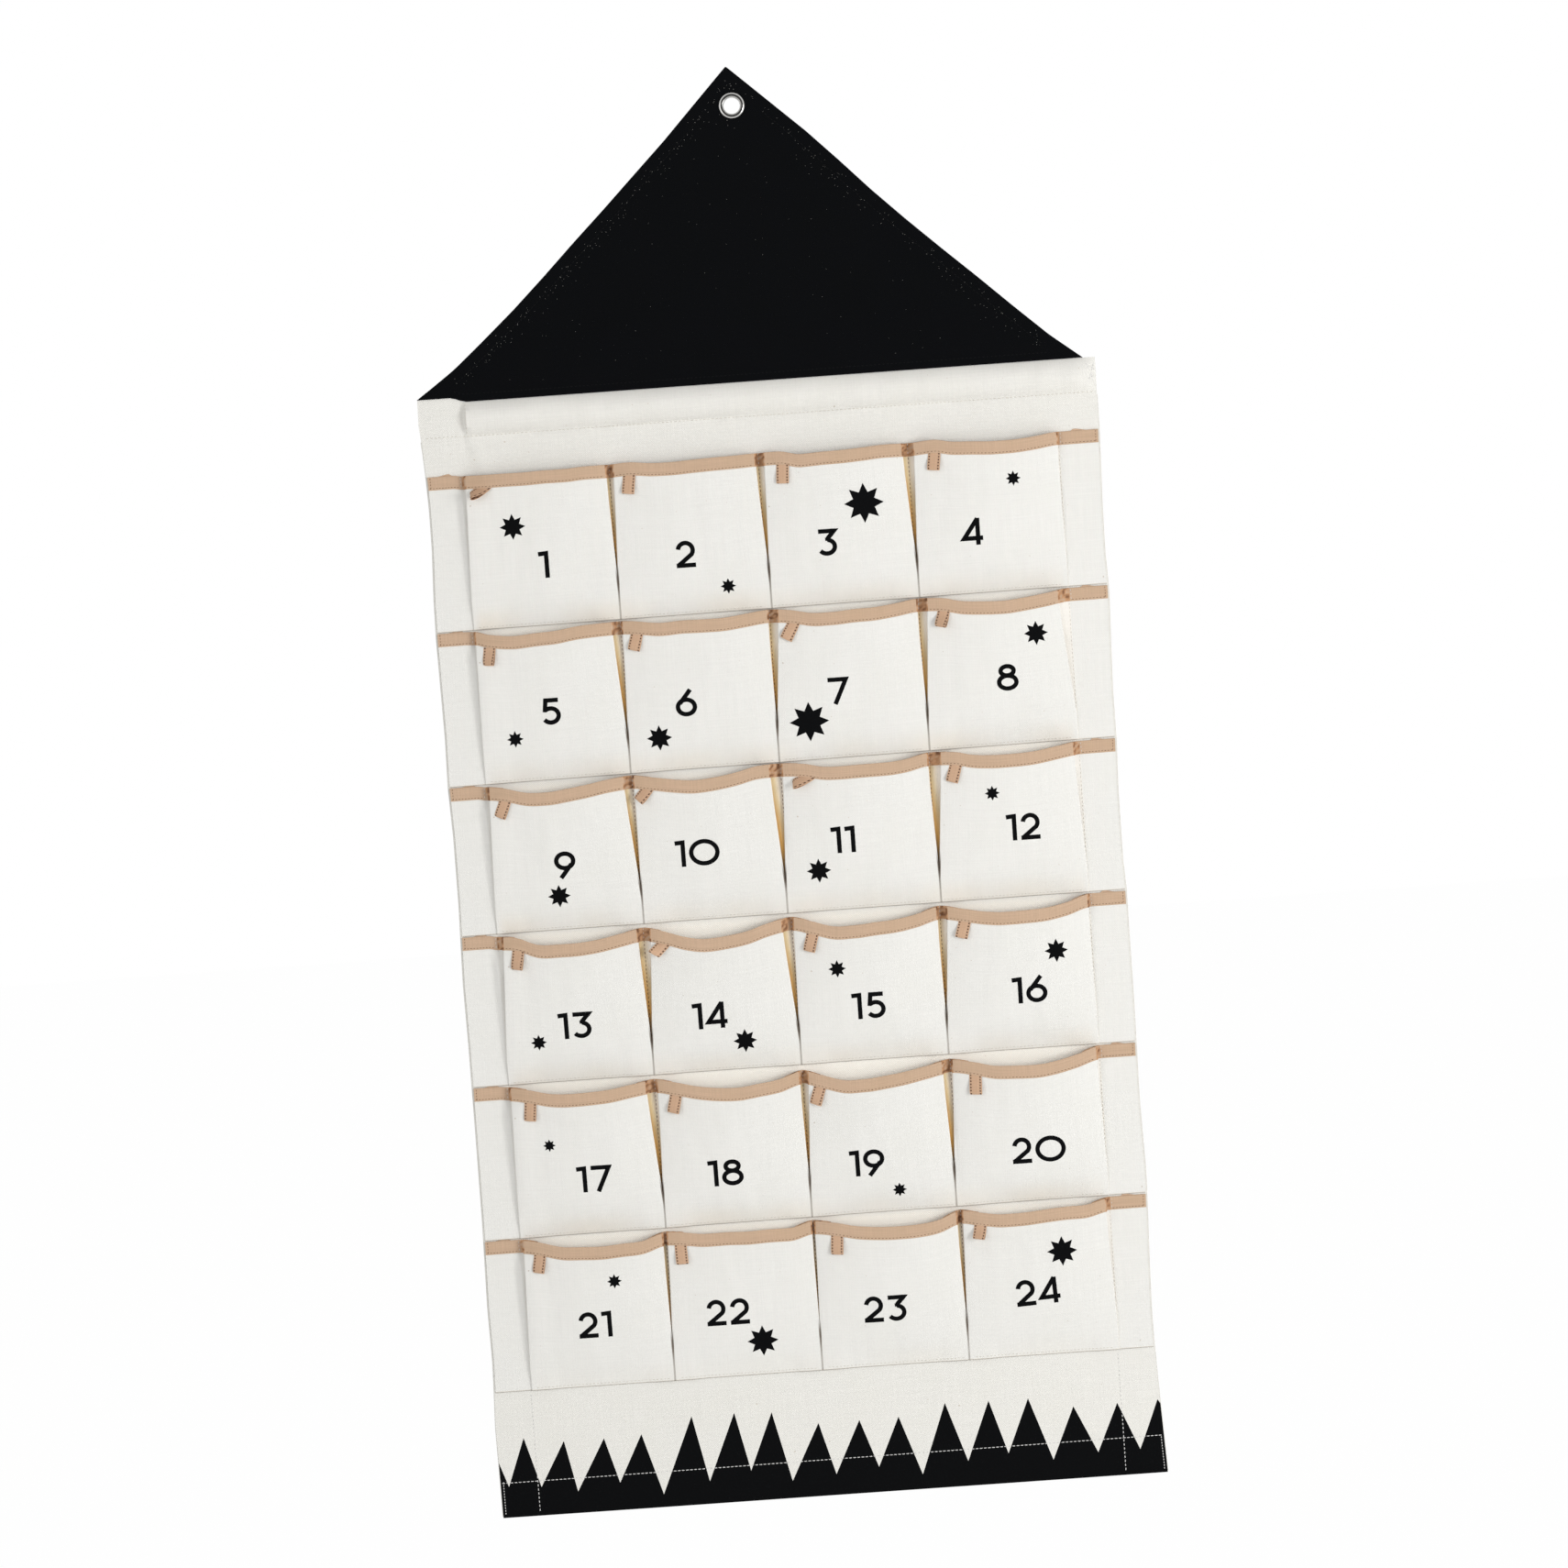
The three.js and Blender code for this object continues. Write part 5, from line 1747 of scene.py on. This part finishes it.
class SewPanel(bpy.types.Operator):
    """Sew the panel's channel and hems, and the strips' dividers and feet"""

    bl_idname = "calendar.panel_thread"
    bl_label = "Panel thread"

    def execute(self, context):
        sizes = cloth_sizes()
        random.seed(11)
        half, foot = sizes.panel_width / 2, -sizes.panel_height
        cream = SewnThread(sizes.thread)
        pitch = sizes.stitch
        channel_foot, rod_stop = -sizes.channel - 0.0008, -0.2238
        cream.seam(panel_face, (-0.256, channel_foot), (0.258, channel_foot), pitch)
        cream.seam(panel_face, (rod_stop, -0.001), (rod_stop, -sizes.channel), pitch)
        hem_top = foot + sizes.hem - 0.002
        strong = SewnThread(sizes.thread * 1.5)
        strong.seam(panel_face, (-half + 0.001, hem_top - 0.001), (half - 0.001, hem_top + 0.001), pitch, share=0.8)
        for x in (-0.231, 0.228):
            strong.seam(panel_face, (x, row_foot(ROWS - 1) - 0.003), (x, foot + 0.002), pitch)
        for x in (-half + 0.0022, half - 0.0022):
            strong.seam(panel_face, (x, hem_top), (x, foot + 0.0015), pitch * 0.7)
        strong.piece("hem_stitches", "panel", "cream_canvas", "white thread")
        # Brown thread down the dividers in the gaps, as painted shade on the cream seam
        shaded_thread = SewnThread(sizes.thread)
        for row in range(ROWS):
            self.sew_strip(cream, shaded_thread, row)
        cream.piece("panel_stitches", "panel", "cream_canvas", "cream thread")
        shaded_thread.piece("divider_stitches", "panel", "pocket_cloth", "brown thread")
        self.sew_corner()
        self.sew_ticks()
        return {"FINISHED"}

    def sew_strip(self, thread, shaded_thread, row):
        """A strip's dividers and foot. The thread that shows is cream, and the thread that lies in the gaps is brown,
        as painted shade
        """
        sizes = cloth_sizes()
        for divider in DIVIDERS:
            x = divider * MM
            top, foot = row_top(row, x), row_foot(row, x)
            out = lambda z: base_out((top - z) / (top - foot)) + pocket_half()
            place = lambda flat_x, z: on_panel(flat_x, out(z), z)
            sewn = thread if divider in (DIVIDERS[0], DIVIDERS[-1]) else shaded_thread
            sewn.seam(place, (x, top - sizes.tape_height - 0.001), (x, foot + 0.001), sizes.stitch)
        off_divider, above_foot = 0.004, 0.0021
        for pocket in range(POCKETS_PER_ROW):
            left, right = DIVIDERS[pocket] * MM + off_divider, DIVIDERS[pocket + 1] * MM - off_divider
            place = lambda x, z: on_panel(x, front_out(row, pocket, x, z), z)
            ends = [(x, row_foot(row, x) + above_foot) for x in (left, right)]
            thread.seam(place, *ends, sizes.stitch * 0.9)

    def sew_corner(self):
        """The hand-sewn stitches that close the channel's right end"""
        white = SewnThread(cloth_sizes().thread * 1.8)
        middle = (0.2566, -0.0105)
        for x, z in ((-0.0042, 0.0068), (0.0022, 0.0066), (0.0004, -0.0080), (-0.0022, -0.0062)):
            end = panel_face(middle[0] + x, middle[1] + z)
            white.stitch(panel_face(*middle), end, FORWARD)
        white.piece("corner_stitches", "panel", "cream_canvas", "white thread")

    def sew_tape(self, thread, row):
        """The stitches along a tape's lower edge"""
        sizes = cloth_sizes()
        half = sizes.panel_width / 2 - 0.002
        level = taped_share() * 0.5
        stitches = {"pitch": 0.0027, "share": 0.55}

        def height(x):
            return row_top(row, x) - sag(row, x) - sizes.tape_height + 0.0016

        for pocket in range(POCKETS_PER_ROW):
            start = DIVIDERS[pocket] * MM + fold_gap(row, pocket, -1, 0) + 0.0012
            end = DIVIDERS[pocket + 1] * MM - fold_gap(row, pocket, 1, 0) - 0.0012
            tab_x = tab_place(row, pocket)[0]

            def place(x, _, pocket=pocket, tab_x=tab_x):
                out = front_middle(row, pocket, x, level) + tape_out() + 0.0006 * tab_bulge(abs(x - tab_x))
                return on_panel(x, out, height(x))

            thread.seam(place, (start, 0), (end, 0), **stitches)
        face = base_out(level) + tape_out()
        for start, end in ((-half, DIVIDERS[0] * MM - 0.0022), (DIVIDERS[-1] * MM + 0.0022, half)):
            thread.seam(lambda x, z: on_panel(x, face, height(x)), (start, 0), (end, 0), **stitches)

    def sew_ticks(self):
        """The stitches that hold the tape down at the dividers and at its ends"""
        sizes = cloth_sizes()
        white, brown = SewnThread(sizes.thread * 0.9), SewnThread(sizes.thread * 0.9)
        half = sizes.panel_width / 2
        top, low = -0.0004, -sizes.tape_height + 0.0006
        face = base_out(0) + tape_out()
        for row in range(ROWS):
            self.sew_tape(brown, row)
            place = lambda x, z: on_panel(x, face, row_top(row, x) - sag(row, x) + z)
            for x in (DIVIDERS[0] * MM - 0.0016, DIVIDERS[-1] * MM + 0.0016):
                white.seam(place, (x, top), (x, low), 0.0026, share=0.55, wobble=0.0003)
            for x in (-half + 0.003, half - 0.003):
                brown.seam(place, (x, top), (x, low), 0.0024, share=0.6)
            for x in DIVIDERS[1:-1]:
                white.seam(place, (x * MM, top + 0.0006), (x * MM, low), 0.0034, share=0.5)
        white.piece("white_ticks", "panel", "tan_tape", "white thread")
        brown.piece("brown_ticks", "panel", "tan_tape", "brown thread")


# Rod


class FinishRod(bpy.types.Operator):
    """Give the hidden rod its wood"""

    bl_idname = "calendar.rod"
    bl_label = "Rod"

    def execute(self, context):
        materials = frame["nodes"]["hanging_rod"].data.materials
        materials.clear()
        materials.append(finish("wood"))
        return {"FINISHED"}


# Stage


class MakeStage(bpy.types.Operator):
    """Set up the floor, the soft lamps and the camera"""

    bl_idname = "calendar.stage"
    bl_label = "Stage"

    def execute(self, context):
        stage = context.scene.calendar_stage
        self.camera(stage)
        self.floor(stage.floor_drop)
        self.lamp("key lamp", place=(1.95, -2.2, -0.45), size=1.1, power=stage.key_power)
        self.lamp("fill lamp", place=(-1.7, -2.4, -0.1), size=1.8, power=stage.fill_power)
        self.world(stage.room_light)
        context.scene.view_settings.view_transform = "Standard"
        return {"FINISHED"}

    def camera(self, stage):
        data = bpy.data.cameras.new("camera")
        data.lens = stage.lens
        data.sensor_width = 36
        camera = link("camera", data)
        turned = Matrix.Rotation(stage.yaw, 3, "Z") @ Matrix.Rotation(stage.pitch, 3, "X")
        turned = turned @ Matrix.Rotation(stage.roll, 3, "Y") @ Matrix.Rotation(math.pi / 2, 3, "X")
        camera.rotation_euler = turned.to_euler()
        camera.location = (stage.camera_x, stage.camera_y, stage.camera_z)
        bpy.context.scene.camera = camera

    def floor(self, drop):
        """A pale floor that looks as white as the room, and takes only a hint of shadow"""
        height = CAD_BOX[0][2] - drop
        bpy.ops.object.select_all(action="DESELECT")
        bpy.ops.mesh.primitive_plane_add(size=14, location=(0, 0, height))
        floor = bpy.context.active_object
        floor.name = "floor"
        maker = NodeMaker("pale floor")
        maker.shade(Base_Color=(0.90, 0.90, 0.89), Roughness=0.9)
        path = maker.add("ShaderNodeLightPath")
        seen = maker.math("MAXIMUM", path.outputs["Is Camera Ray"], path.outputs["Is Glossy Ray"])
        seen = maker.math("MAXIMUM", seen, path.outputs["Is Transmission Ray"])
        glow = maker.add("ShaderNodeEmission", {"Color": (1, 1, 1, 1), "Strength": 1.0})
        both = maker.add("ShaderNodeMixShader")
        own_glow = 0.985
        maker.feed(both.inputs["Fac"], maker.math("MULTIPLY", seen, own_glow))
        maker.feed(both.inputs[1], maker.shader.outputs["BSDF"])
        maker.feed(both.inputs[2], glow.outputs["Emission"])
        output = maker.tree.nodes["Material Output"]
        maker.feed(output.inputs["Surface"], both.outputs["Shader"])
        floor.data.materials.append(maker.material)

    def lamp(self, name, place, size, power):
        data = bpy.data.lights.new(name, "AREA")
        data.shape = "SQUARE"
        data.size = size
        data.energy = power
        lamp = link(name, data)
        lamp.location = place
        centre = Vector((0, 0, (CAD_BOX[0][2] + CAD_BOX[1][2]) / 2))
        lamp.rotation_euler = (centre - lamp.location).to_track_quat("-Z", "Y").to_euler()

    def world(self, light):
        """A white room, which lights the cloth with less than it shows"""
        world = bpy.data.worlds.new("plain room")
        world.use_nodes = True
        nodes, links = world.node_tree.nodes, world.node_tree.links
        ground = nodes["Background"]
        ground.inputs["Color"].default_value = (1, 1, 1, 1)
        path = nodes.new("ShaderNodeLightPath")
        seen = path.outputs["Is Camera Ray"]
        for ray in ("Is Glossy Ray", "Is Transmission Ray"):
            either = nodes.new("ShaderNodeMath")
            either.operation = "MAXIMUM"
            links.new(seen, either.inputs[0])
            links.new(path.outputs[ray], either.inputs[1])
            seen = either.outputs[0]
        strength = nodes.new("ShaderNodeMapRange")
        strength.inputs["To Min"].default_value = light
        strength.inputs["To Max"].default_value = 1.0
        links.new(seen, strength.inputs["Value"])
        links.new(strength.outputs["Result"], ground.inputs["Strength"])
        bpy.context.scene.world = world


OPERATORS = (
    MakeStage,
    MakeRoof,
    MakeEyelet,
    MakePanel,
    MakeStrips,
    MakeTape,
    MakeTabs,
    MakeNumbers,
    MakeStars,
    SewRoof,
    SewPanel,
    FinishRod,
)


class CalendarPanel(bpy.types.Panel):
    """Lists the calendar's pieces, sizes and colours"""

    bl_idname = "VIEW3D_PT_calendar"
    bl_label = "Pocket advent calendar"
    bl_space_type = "VIEW_3D"
    bl_region_type = "UI"
    bl_category = "Calendar"

    def draw(self, context):
        for operator in OPERATORS:
            self.layout.operator(operator.bl_idname)
        for group in (context.scene.calendar_cloth, context.scene.calendar_colours, context.scene.calendar_stage):
            box = self.layout.box()
            for name in group.__annotations__:
                box.prop(group, name)


CLASSES = (ClothSizes, Colours, StageSizes, *OPERATORS, CalendarPanel)


def register():
    for each in CLASSES:
        bpy.utils.register_class(each)
    bpy.types.Scene.calendar_cloth = PointerProperty(type=ClothSizes)
    bpy.types.Scene.calendar_colours = PointerProperty(type=Colours)
    bpy.types.Scene.calendar_stage = PointerProperty(type=StageSizes)


def unregister():
    del bpy.types.Scene.calendar_stage
    del bpy.types.Scene.calendar_colours
    del bpy.types.Scene.calendar_cloth
    for each in reversed(CLASSES):
        bpy.utils.unregister_class(each)


def main():
    register()
    bpy.ops.calendar.stage()
    bpy.ops.calendar.roof()
    bpy.ops.calendar.eyelet()
    bpy.ops.calendar.panel()
    bpy.ops.calendar.strips()
    bpy.ops.calendar.tape()
    bpy.ops.calendar.tabs()
    bpy.ops.calendar.numbers()
    bpy.ops.calendar.stars()
    bpy.ops.calendar.roof_thread()
    bpy.ops.calendar.panel_thread()
    bpy.ops.calendar.rod()


if __name__ == "__main__":
    main()
